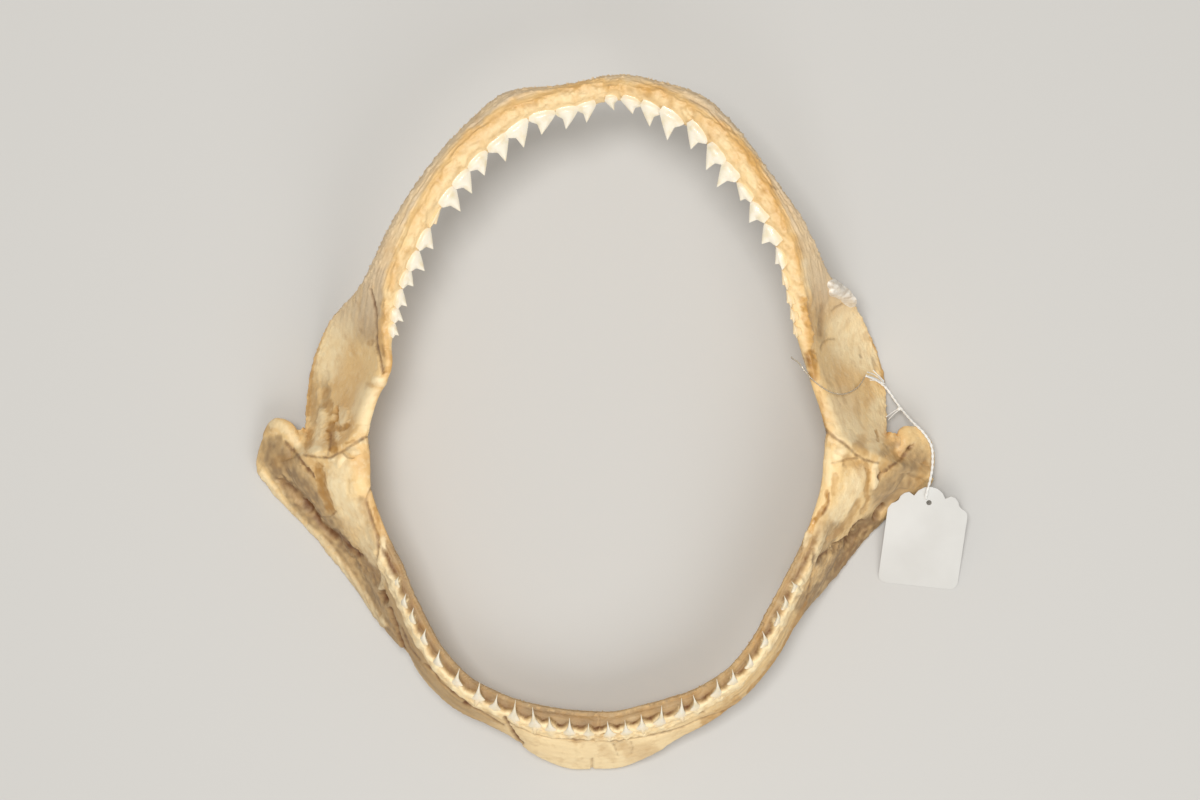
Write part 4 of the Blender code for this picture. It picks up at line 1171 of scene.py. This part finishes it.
def lower_relief(mesh, rows, places, marks, greys, seed):
    """Sockets, tooth bed, wall, fibres and marks of a lower half."""
    facts, masks = skin_facts(mesh, rows)
    points = facts["points"]
    d = facts["in_mm"]
    bar = (1 - step(*LOWER_BAR_END, facts["place"])) * facts["top"]
    away = facts["top"] * (1 - bar)
    front = at_chin(points)
    t, near = between_teeth(facts, rows, places)
    apart = step(0.0, 3.5, facts["along"])
    t = 1 - (1 - t) * apart
    toothed = 1 - step(*TOOTHED_REACH, near)
    cup = (CUP_REACH + CUP_AT_CHIN * front + CUP_BETWEEN * np.sqrt(t) * toothed + CUP_BARE * (1 - toothed)
           + layered(points, seed, (0.4, 1.6), (0.3, 0.8)) + 0.9 * lumps(points, 7.0, seed + 13))
    past_cup = d - cup
    inside = bar * step(0.5, 1.3, d) * (1 - step(-0.7, 0.25, past_cup))
    past_foot = d - (BED_REACH + BED_AT_CHIN * front + 0.8 * lumps(points, 4.0, seed + 2))
    bed = bar * step(-0.1, 0.9, past_cup) * (1 - step(-0.9, 0.9, past_foot))
    mound = bar * bell(near, 0, 1.3) * bell(d, TAN_WALL + 1.0 + 2.6 * front, 2.4)
    scallop = bar * toothed * bell(past_cup, 1.0, 0.8) * (0.65 + 0.6 * lumps(points, 6.0, seed + 14))
    strands = fibres(facts, 8.0, 0.6, seed + 3) * apart
    coarse = fibres(facts, 16.0, 1.6, seed + 4) * apart
    rough = lumps(points, 1.3, seed + 5)
    labial = bar * step(-0.5, 1.5, past_foot)
    dry = bar * (1 - 0.8 * labial * front)
    crumbs = bed * front * np.exp(-((points[:, 0] - 2) / 15.0) ** 2)
    crumb = lumps(points, 1.0, seed + 11)
    brink = (bar - labial) * (1 - step(0.2, 2.2, d))
    # Each form with the height in mm that it adds
    rise = 0.06 * lumps(points, 0.9, seed + 8) + sum(height * form for height, form in (
        (0.8, bed), (0.6, mound), (0.45, scallop), (-CUP_DEPTH, inside), (0.16, dry * strands),
        (0.16, dry * coarse), (0.14, dry * rough), (0.34, bed * lumps(points, 2.2, seed + 6)),
        (0.2, bed * lumps(points, 1.0, seed + 15)), (0.45, crumbs * crumb),
        (0.3, brink * lumps(points, 1.3, seed + 12)), (0.05, away * coarse), (0.02, away * strands),
        (0.2, away * lumps(points, 4.0, seed + 7))))
    # How much of each form each mask covers
    wall_grey, band_grey = greys
    masks["pale_and_highlight"] = 0.5 * bed + 0.8 * mound + 0.7 * scallop + 0.3 * bed * rough + 0.7 * labial * front
    # Painted shade in part: grey in the sockets and along the inner edge, over the wall's own grey
    masks["grey_and_shade"] = ((wall_grey + 0.2 * coarse) * np.maximum(inside, bar * (1 - step(0.5, 1.3, d)))
                     + (band_grey + 0.3 * coarse) * labial * (1 - front))
    masks["ochre"] = (0.5 * inside * np.maximum(lumps(points, 4.5, seed + 9), 0)
                      + 0.4 * crumbs * step(0.2, 0.6, -crumb))
    masks["streak"] = ((inside + labial * (1 - 0.8 * front)) * np.clip(strands, 0, 1)
                       + away * 0.2 * np.clip(coarse - 0.2, 0, 1))
    # Painted shade at the brim of each socket and deep in the cups between teeth
    brim = bar * bell(past_cup, -0.3, 0.5) * (0.35 + 0.65 * t)
    masks["shade_and_brown_line"] = (brim * np.clip(0.6 + 0.55 * front + 0.4 * lumps(points, 5.0, seed + 10), 0, 1)
                     + 0.4 * inside * bell(past_cup, -1.4, 1.0) * t * toothed * (1 - 0.6 * front))
    rise += paint(facts, masks, marks, seed + 20)
    return points + facts["normals"] * rise[:, None], masks


def on_bed(rows, places):
    """The line of the camera side that a lower half's teeth stand on."""
    across = np.linspace(*BED_SEARCH)
    at = np.repeat(places, len(across))
    points, kept, span = section_points(rows, at, np.tile(across, len(places)), np.zeros(len(at), bool))
    wanted = TAN_WALL + CHIN_WALL * at_chin(points)
    best = np.abs(kept - wanted).reshape(len(places), -1).argmin(axis=1)
    return points.reshape(len(places), -1, 3)[np.arange(len(places)), best]


def lower_places(rows, spaces):
    return walk(lambda at: on_bed(rows, at), len(rows) - 3, spaces)


def lower_half(name, rows, lobe_rows, spaces, marks, greys, side, node_name):
    main = half_skin(name + "_main", rows, *LOWER_GRID, -side * CHIN_LAP, -GAP / 2)
    lobe = half_skin(name + "_lobe", lobe_rows, *LOBE_GRID)
    mesh = grown_together(name, main, lobe, SKIN_GRAIN)
    borrow(mesh, main, ("place", "in_mm", "out_mm"))
    bpy.data.meshes.remove(main)
    bpy.data.meshes.remove(lobe)
    relief = lower_relief(mesh, rows, lower_places(rows, spaces), marks, greys, LOWER_SEED)
    return finish_half(name, mesh, *relief, node_name)


# How much of the wall and of the outer band is grey, left and right; the wall's grey is partly
# painted shade
GREYS_LEFT = (0.9, 0.6)
GREYS_RIGHT = (0.7, 0.1)
lower_left = lower_half("lower_half_left", LOWER_LEFT, LOBE_LEFT, LOWER_LEFT_SPACES, LOWER_LEFT_MARKS,
                        GREYS_LEFT, -1, "lower_jaw_left")
lower_right = lower_half("lower_half_right", LOWER_RIGHT, LOBE_RIGHT, LOWER_RIGHT_SPACES,
                         LOWER_RIGHT_MARKS, GREYS_RIGHT, 1, "lower_jaw_right")

# Lower teeth
# Narrow ivory spikes that lean in over the sockets, each on three prongs of root: one along the
# bed to each side and one down its outer side.
SPIKE_HEIGHT = 9.4
SPIKE_WIDTH = 2.1
SPIKE_RINGS = 12
SPIKE_BOW = 0.9
PRONG_LENGTH = 3.4
PRONG_RINGS = 8
PRONG_DROP = 1.9
HORN_SIDES = 10
BASE_RISE = 1.2
# The way the spikes lean, how far they turn from the outer side, and how much that varies
SPIKE_LEAN = Vector((0, 0.62, 0.72))
SPIKE_TURN = 0.26
SWAY = (0.14, 0.1)


def add_horn(form, layer, points, sizes, across, roots):
    """A tapering horn of oval rings along a line of points."""
    rings = []
    for i, (point, (wide, deep)) in enumerate(zip(points, sizes)):
        ahead = heading(points, i)
        side = (across - ahead * across.dot(ahead) / ahead.length_squared).normalized()
        face = side.cross(ahead).normalized()
        angles = [math.tau * k / HORN_SIDES for k in range(HORN_SIDES)]
        rings.append(add_ring(form, layer, [
            point + side * (wide * math.cos(angle)) + face * (deep * math.sin(angle))
            for angle in angles], roots[i]))
    loft(form, rings)


def lower_teeth(name, rows, spaces, seed):
    """The standing row of one lower half, as one piece."""
    draw = random.Random(seed)
    form = bmesh.new()
    layer = form.verts.layers.float.new("root")
    up_spike = np.linspace(0, 1, SPIKE_RINGS)
    down_prong = np.linspace(0, 1, PRONG_RINGS)
    for i, place in enumerate(lower_places(rows, spaces)):
        share = i / (len(spaces) - 1)
        size = (0.7 + 0.3 * min(i / 3, 1.0)) * (1 - 0.5 * share ** 2.2) * draw.uniform(0.8, 1.1)
        here, ahead = (Vector(point) for point in on_bed(rows, np.array([place, place + 0.1])))
        base = here + UP * BASE_RISE
        along = (ahead - here).normalized()
        out = outward_at(through(rows, [place])[0])
        sway = Vector([draw.uniform(-most, most) for most in SWAY] + [0])
        rise = (SPIKE_LEAN - out * SPIKE_TURN + sway).normalized()
        wide = SPIKE_WIDTH / 2 * (0.6 + 0.4 * size)
        spine = [base + rise * (SPIKE_HEIGHT * size * q) + out * (SPIKE_BOW * size * math.sin(math.pi * q))
                 for q in np.linspace(-0.08, 1, SPIKE_RINGS)]
        girth = [(wide * (2.1 * (1 - q) ** 2.4 + 0.5 * (1 - q) + 0.2) * (1 - 0.7 * q ** 4),
                  wide * (0.9 * (1 - q) + 0.18) * (1 - 0.7 * q ** 4)) for q in up_spike]
        add_horn(form, layer, spine, girth, along, [float(max(0, 0.35 - q)) for q in up_spike])
        for side in (-1, 0, 1):
            spread = along * side * draw.uniform(0.85, 1.15)
            spread += out * draw.uniform(0.25, 0.5) * (1 if side else 2.2)
            prong = [base - UP * 0.5 + spread * (PRONG_LENGTH * size * q) - UP * (PRONG_DROP * q * q)
                     for q in np.linspace(-0.05, 1, PRONG_RINGS)]
            taper = [(wide * (0.9 - 0.5 * q), wide * (1.5 - 1.0 * q)) for q in down_prong]
            add_horn(form, layer, prong, taper, UP, [0.2 + 0.8 * q for q in down_prong])
    finish_teeth(name, form)


lower_teeth("lower_teeth_left", LOWER_LEFT, LOWER_LEFT_SPACES, 51)
lower_teeth("lower_teeth_right", LOWER_RIGHT, LOWER_RIGHT_SPACES, 52)

# Hinge gristle
# Dried gristle lies over the joint of each hinge and joins each lobe to its plate. It is a skin
# laid over the finished halves, as the camera sees them, with lumps in it and its rim sunk in.
DRAPE_STEP = 0.8
DRAPE_MARGIN = 12
DRAPE_FILL_TURNS = 160
DRAPE_SPREAD_TURNS = 4
DRAPE_BLUR_TURNS = 14
DRAPE_LIFT = 0.3
DRAPE_SINK = 0.45
DRAPE_DEPTH = 3.0
# How far above the floor the skin's underside stays, in mm
DRAPE_LOWEST = 0.5

# Each line that it covers in the photograph's pixels, with its half width and whether the skin
# also bridges the open space there
COVER_LEFT = (
    (((306, 453), (318, 453), (332, 453), (344, 448), (354, 442), (366, 437)), 17.0, 0),
    (((301, 440), (300, 456)), 11.0, 1), (((350, 452), (358, 450)), 10.0, 0),
)
COVER_RIGHT = (
    (((826, 432), (838, 440), (850, 447), (864, 453), (884, 459)), 17.0, 0),
    (((891, 443), (891, 460)), 12.0, 1), (((897, 462), (912, 468), (926, 474)), 10.0, 0),
    (((872, 447), (884, 446)), 10.0, 0),
)
# Lumps in it: place and radius in pixels, and height in mm
BUMPS_LEFT = (
    (353, 452, 4.5, 1.5), (361, 442, 2.5, 0.9), (332, 460, 2.6, 0.9), (326, 458, 1.8, 0.6),
    (324, 451, 2.4, 0.7), (336, 434, 2.6, 1.0), (314, 450, 6.0, 1.4), (345, 457, 2.2, 0.5),
)
BUMPS_RIGHT = (
    (839, 452, 6.0, 1.3), (873, 446, 6.0, 0.9), (885, 444, 5.0, 0.8), (866, 462, 2.4, 0.6),
    (852, 447, 4.0, 0.5), (832, 446, 3.0, 0.7),
)
GRISTLE_LEFT_MARKS = UPPER_LEFT_MARKS + LOWER_LEFT_MARKS + (
    ("pale_and_highlight", 1.0, 3.6, 0.0, ((351, 450), (355, 453))),
    ("pale_and_highlight", 0.9, 2.0, 0.0, ((361, 441), (361, 442))),
    ("pale_and_highlight", 0.9, 2.0, 0.0, ((330, 460), (333, 460))),
    ("ochre", 0.6, 1.6, -0.2, ((346, 443), (354, 441))),
    ("shade_and_brown_line", 0.5, 1.0, -0.3, ((342, 452), (348, 458), (359, 459))),
)
GRISTLE_RIGHT_MARKS = UPPER_RIGHT_MARKS + LOWER_RIGHT_MARKS + (
    ("pale_and_highlight", 0.8, 4.0, 0.0, ((836, 453), (842, 451))),
    ("ochre", 0.6, 5.0, 0.0, ((858, 446), (864, 452))),
    ("grey_and_shade", 0.6, 4.0, 0.0, ((884, 452), (892, 446), (900, 444))),
    ("shade_and_brown_line", 0.4, 1.2, -0.3, ((884, 444), (887, 447))),
)


def over(trees, pixel):
    """Where the camera's line through a pixel first meets the finished skins, in metres."""
    aim = Vector((*((np.array(pixel) - PHOTO_MIDDLE) * (1, -1) / LENS_PIXELS), -1))
    eye = metres((0, 0, CAMERA_HEIGHT))
    hits = [tree.ray_cast(eye, aim) for tree in trees]
    hits = [hit for hit in hits if hit[0] is not None]
    return min(hits, key=lambda hit: hit[3])[0] if hits else None


def at_height(pixels, height):
    """The places on the sheet that the camera sees at pixels, at heights in mm."""
    reach = (CAMERA_HEIGHT - height) / LENS_PIXELS
    return np.column_stack(((pixels - PHOTO_MIDDLE) * (1, -1) * reach[:, None], height))


def ray_tree(piece):
    form = bmesh.new()
    form.from_mesh(piece.data)
    tree = BVHTree.FromBMesh(form)
    form.free()
    return tree


def neighbours(field):
    """The four neighbours of each value of a field."""
    ring = np.pad(field, 1, mode="edge")
    return ring[:-2, 1:-1], ring[2:, 1:-1], ring[1:-1, :-2], ring[1:-1, 2:]


def smoothed(field):
    """Each value as the mean of the four beside it."""
    return sum(neighbours(field)) / 4


def raised(field):
    """Each value as the highest of itself and the four beside it."""
    return np.maximum.reduce([field, *neighbours(field)])


def heights_under(trees, pixels, cell, counts):
    """The halves' height in mm at each cell of a grid, filled in over the open spaces, and
    which cells the halves cover."""
    height = np.full(counts + 1, np.nan)
    for (column, row), pixel in zip(cell, pixels):
        place = over(trees, pixel)
        if place is not None:
            height[column, row] = place.z / MM
    known = ~np.isnan(height)
    laid = np.where(known, height, np.nanmean(height))
    for turn in range(DRAPE_FILL_TURNS):
        laid = np.where(known, height, smoothed(laid))
    return laid, known.astype(float)


def draped_skin(name, trees, cover, bumps, marks, material, seed):
    """A closed skin laid over the halves along lines of the photograph."""
    corners = np.array([corner for line, width, bridge in cover for corner in line])
    low = corners.min(axis=0) - DRAPE_MARGIN
    counts = np.ceil((corners.max(axis=0) + DRAPE_MARGIN - low) / DRAPE_STEP).astype(int)
    mesh = grid_mesh(name, int(counts[0]), int(counts[1]), 1.0)
    cell = np.round((rows_of(mesh.vertices, "co", 3)[:, 0:2] + 1) / 2 * counts).astype(int)
    pixels = low + cell * DRAPE_STEP
    laid, inland = heights_under(trees, pixels, cell, counts)
    bare = laid[cell[:, 0], cell[:, 1]]
    for turn in range(DRAPE_SPREAD_TURNS):
        laid = raised(laid)
    for turn in range(DRAPE_BLUR_TURNS):
        laid = smoothed(laid)
        inland = smoothed(inland)
    laid = laid[cell[:, 0], cell[:, 1]]
    inland = step(0.5, 0.8, inland[cell[:, 0], cell[:, 1]])
    edge_wander = 0.22 * lumps(np.column_stack((pixels, pixels[:, 0])), 7.0, seed)
    amount = np.zeros(len(pixels))
    for line, width, bridge in cover:
        share = 1 - step(0.3, 1.0, from_line(pixels, line) / width + edge_wander)
        amount = np.maximum(amount, share * (1.0 if bridge else inland))
    lift = DRAPE_LIFT * amount - DRAPE_SINK * (1 - amount)
    for x, y, radius, tall in bumps:
        lift += tall * bell(from_line(pixels, ((x, y),)), 0, radius) * amount
    points = at_height(pixels, bare + (laid - bare) * amount + lift)
    facts = {"points": points, "top": np.ones(len(points)), "pixels": pixels}
    masks = {key: np.zeros(len(points)) for key in MASKS}
    points[:, 2] += (layered(points, seed + 4, (0.25, 2.4), (0.1, 0.9))
                     + 0.5 * paint(facts, masks, marks, seed + 2)) * amount
    dress(mesh, points, masks)
    form = bmesh.new()
    form.from_mesh(mesh)
    form.verts.ensure_lookup_table()
    bare_verts = [vert for vert, share in zip(form.verts, amount) if share <= 0.001]
    bmesh.ops.delete(form, geom=bare_verts, context="VERTS")
    thickened = bmesh.ops.extrude_face_region(form, geom=form.faces[:], use_keep_orig=True)
    for vert in thickened["geom"]:
        if isinstance(vert, bmesh.types.BMVert):
            vert.co.z = max(vert.co.z - DRAPE_DEPTH * MM, DRAPE_LOWEST * MM)
    bmesh.ops.recalc_face_normals(form, faces=form.faces)
    form.to_mesh(mesh)
    form.free()
    mesh.shade_smooth()
    new_piece(name, mesh, material)


left_trees = [ray_tree(upper_left), ray_tree(lower_left)]
right_trees = [ray_tree(upper_right), ray_tree(lower_right)]
draped_skin("hinge_gristle_left", left_trees, COVER_LEFT, BUMPS_LEFT, GRISTLE_LEFT_MARKS, cartilage, 61)
draped_skin("hinge_gristle_right", right_trees, COVER_RIGHT, BUMPS_RIGHT, GRISTLE_RIGHT_MARKS, cartilage, 62)

# Glue
# A milky lump of dried glue on the shoulder of the right hinge plate, with a thin run down its
# edge. It is laid over the plate as the gristle is, and is smoother and lets some light in.
MILKY = "#EDE7DC"
GLUE_LIGHT = "#EFE8DC"
GLUE_DARK = "#CBBEAC"
GLUE_CLOUDS = (2.5, 0.4, 0.7)
GLUE_COVER = ((((833, 285), (838, 288), (845, 295), (851, 302)), 7.0, 1), (((834, 292), (840, 294)), 6.0, 1))
GLUE_BUMPS = (
    (834, 284, 4.0, 0.8), (840, 286, 4.0, 1.0), (842, 293, 4.0, 0.9), (848, 299, 3.0, 0.7),
    (834, 293, 3.0, 0.7),
)
glue, tree, shader = new_material("dried_glue", MILKY, roughness=0.3)
painted(tree, shader, GLUE_LIGHT, (patches(tree, *GLUE_CLOUDS), GLUE_DARK))
shader.inputs["Subsurface Weight"].default_value = 0.3
shader.inputs["Subsurface Radius"].default_value = (0.003, 0.003, 0.003)
draped_skin("glue_lump", right_trees, GLUE_COVER, GLUE_BUMPS, (), glue, 71)

# Knot strands
# Loose strands of the thread where it is sewn through the plate, and where a side strand is
# knotted to it, along pixels of the photograph.
STRAND_THICK = 0.42
STRAND_LIFT = 0.3
STRAND_SIDES = 8
STRAND_STEPS = 6
KNOT_SIZE = 0.75
KNOT_PIXEL = (899, 409)
HANGING_HEIGHT = 6.6
STRANDS = (
    ((867, 372), (875, 375), (884, 382)), ((868, 376), (875, 378), (884, 383)),
    ((870, 380), (877, 381), (885, 384)), ((873, 370), (878, 375), (884, 381)),
    ((900, 408), (893, 412), (886, 417)), ((899, 410), (893, 415), (888, 420)),
)


def lifted(pixels):
    """The places that pixels show, just above the halves or in the open at the thread's height."""
    found = [over(right_trees, pixel) for pixel in pixels]
    heights = [(place.z / MM if place else HANGING_HEIGHT) + STRAND_LIFT for place in found]
    return at_height(np.array(pixels), np.array(heights))


form = bmesh.new()
for pixels in STRANDS:
    points = smooth_line(lifted(pixels), STRAND_STEPS)
    rings = []
    for i, point in enumerate(points):
        ahead = heading(points, i).normalized()
        side = ahead.cross(UP).normalized() * STRAND_THICK / 2
        above = side.cross(ahead)
        angles = [math.tau * k / STRAND_SIDES for k in range(STRAND_SIDES)]
        rings.append([form.verts.new(metres(Vector(point) + side * math.cos(angle) + above * math.sin(angle)))
                      for angle in angles])
    loft(form, rings)
bmesh.ops.create_icosphere(form, subdivisions=3, radius=KNOT_SIZE * MM,
                           matrix=Matrix.Translation(metres(lifted([KNOT_PIXEL])[0])))
mesh = closed_mesh("knot_strands", form)
mesh.shade_smooth()
new_piece("knot_strands", mesh, cotton)

# Torn rim
# Dry shreds of skin left along the outer rim of the upper jaw and the inner rim of the lower
# jaw, each a thin bent flake of the same dried tissue, rooted in the half.
TORN_LAST = 9.0
SHRED_LENGTH = (0.5, 1.6)
SHRED_WIDTH = (0.3, 1.0)
SHRED_THICK = 0.16
SHRED_LEAN = 1.2
SHRED_TINT = 0.8
# How far along a shred its rings stand, before its tip
SHRED_RINGS = (0.0, 0.5, 0.85)
# How many shreds a rim has, which side of the half it is on, how deep in mm a shred is rooted,
# how far above the edge it can start, and the mask it is tinted with
UPPER_SHREDS = {"shreds": 300, "inside": False, "rooted": 0.5, "highest": 1.6, "tint": "rim"}
LOWER_SHREDS = {"shreds": 70, "inside": True, "rooted": 1.0, "highest": 0.4, "tint": "grey_and_shade"}


def torn_rim(name, rows, seed, shreds, inside, rooted, highest, tint):
    """Loose shreds along one rim of a half, as one piece."""
    draw = random.Random(seed)
    form = bmesh.new()
    rim = slice(0, 3) if inside else slice(3, 6)
    for count in range(shreds):
        place = draw.uniform(0.1, TORN_LAST)
        values, ahead = through(rows, [place, place + NEXT_PLACE])
        edge = Vector(values[rim])
        along = (Vector(ahead[rim]) - edge).normalized()
        out = outward_at(values) * (-1 if inside else 1)
        start = edge - out * rooted + UP * draw.uniform(-2.0, highest)
        aside = along * draw.uniform(-SHRED_LEAN, SHRED_LEAN)
        lean = (out + aside + UP * draw.uniform(-0.3, 0.5)).normalized()
        long = draw.uniform(*SHRED_LENGTH)
        wide = draw.uniform(*SHRED_WIDTH)
        bend = UP * draw.uniform(-0.6, 0.4)
        across = lean.cross(UP).normalized()
        rings = []
        for q in SHRED_RINGS:
            middle = start + lean * (long * q) + bend * (q * q)
            half = wide / 2 * (1 - 0.8 * q)
            thick = SHRED_THICK * (1 - 0.6 * q)
            rings.append([form.verts.new(middle + across * half * a + UP * (thick * b))
                          for a, b in ((-1, -1), (1, -1), (1, 1), (-1, 1))])
        tip = form.verts.new(start + lean * long + bend)
        form.faces.new(rings[0][::-1])
        stitch_rings(form, rings[0], rings[1])
        stitch_rings(form, rings[1], rings[2])
        for i in range(4):
            form.faces.new((rings[2][i], rings[2][(i + 1) % 4], tip))
    mesh = sheet_mesh(name, form)
    write(mesh, tint, np.full(len(mesh.vertices), SHRED_TINT))
    new_piece(name, mesh, cartilage)


torn_rim("torn_rim_left", UPPER_LEFT, 81, **UPPER_SHREDS)
torn_rim("torn_rim_right", UPPER_RIGHT, 82, **UPPER_SHREDS)
torn_rim("torn_lower_rim_left", LOWER_LEFT, 83, **LOWER_SHREDS)
torn_rim("torn_lower_rim_right", LOWER_RIGHT, 84, **LOWER_SHREDS)

# Tag
# A bare paper label with a stepped top and round corners at its foot, punched for the thread.
# Paper is matt and slightly mottled, and its pulp is drawn coarser than it is, so that it shows.
PAPER = "#D2D0CB"
PAPER_LIGHT = "#D6D5D1"
PAPER_DARK = "#C9C7C2"
PAPER_CLOUDS = (33.3, 0.35, 0.7)
PULP = (0.4, 3.0, 0.2, 0.1)
paper, tree, shader = new_material("paper", PAPER, roughness=0.8)
painted(tree, shader, PAPER_LIGHT, (patches(tree, *PAPER_CLOUDS), PAPER_DARK))
grained(tree, shader, *PULP)
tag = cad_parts["tag"]
tag.data.materials.clear()
tag.data.materials.append(paper)
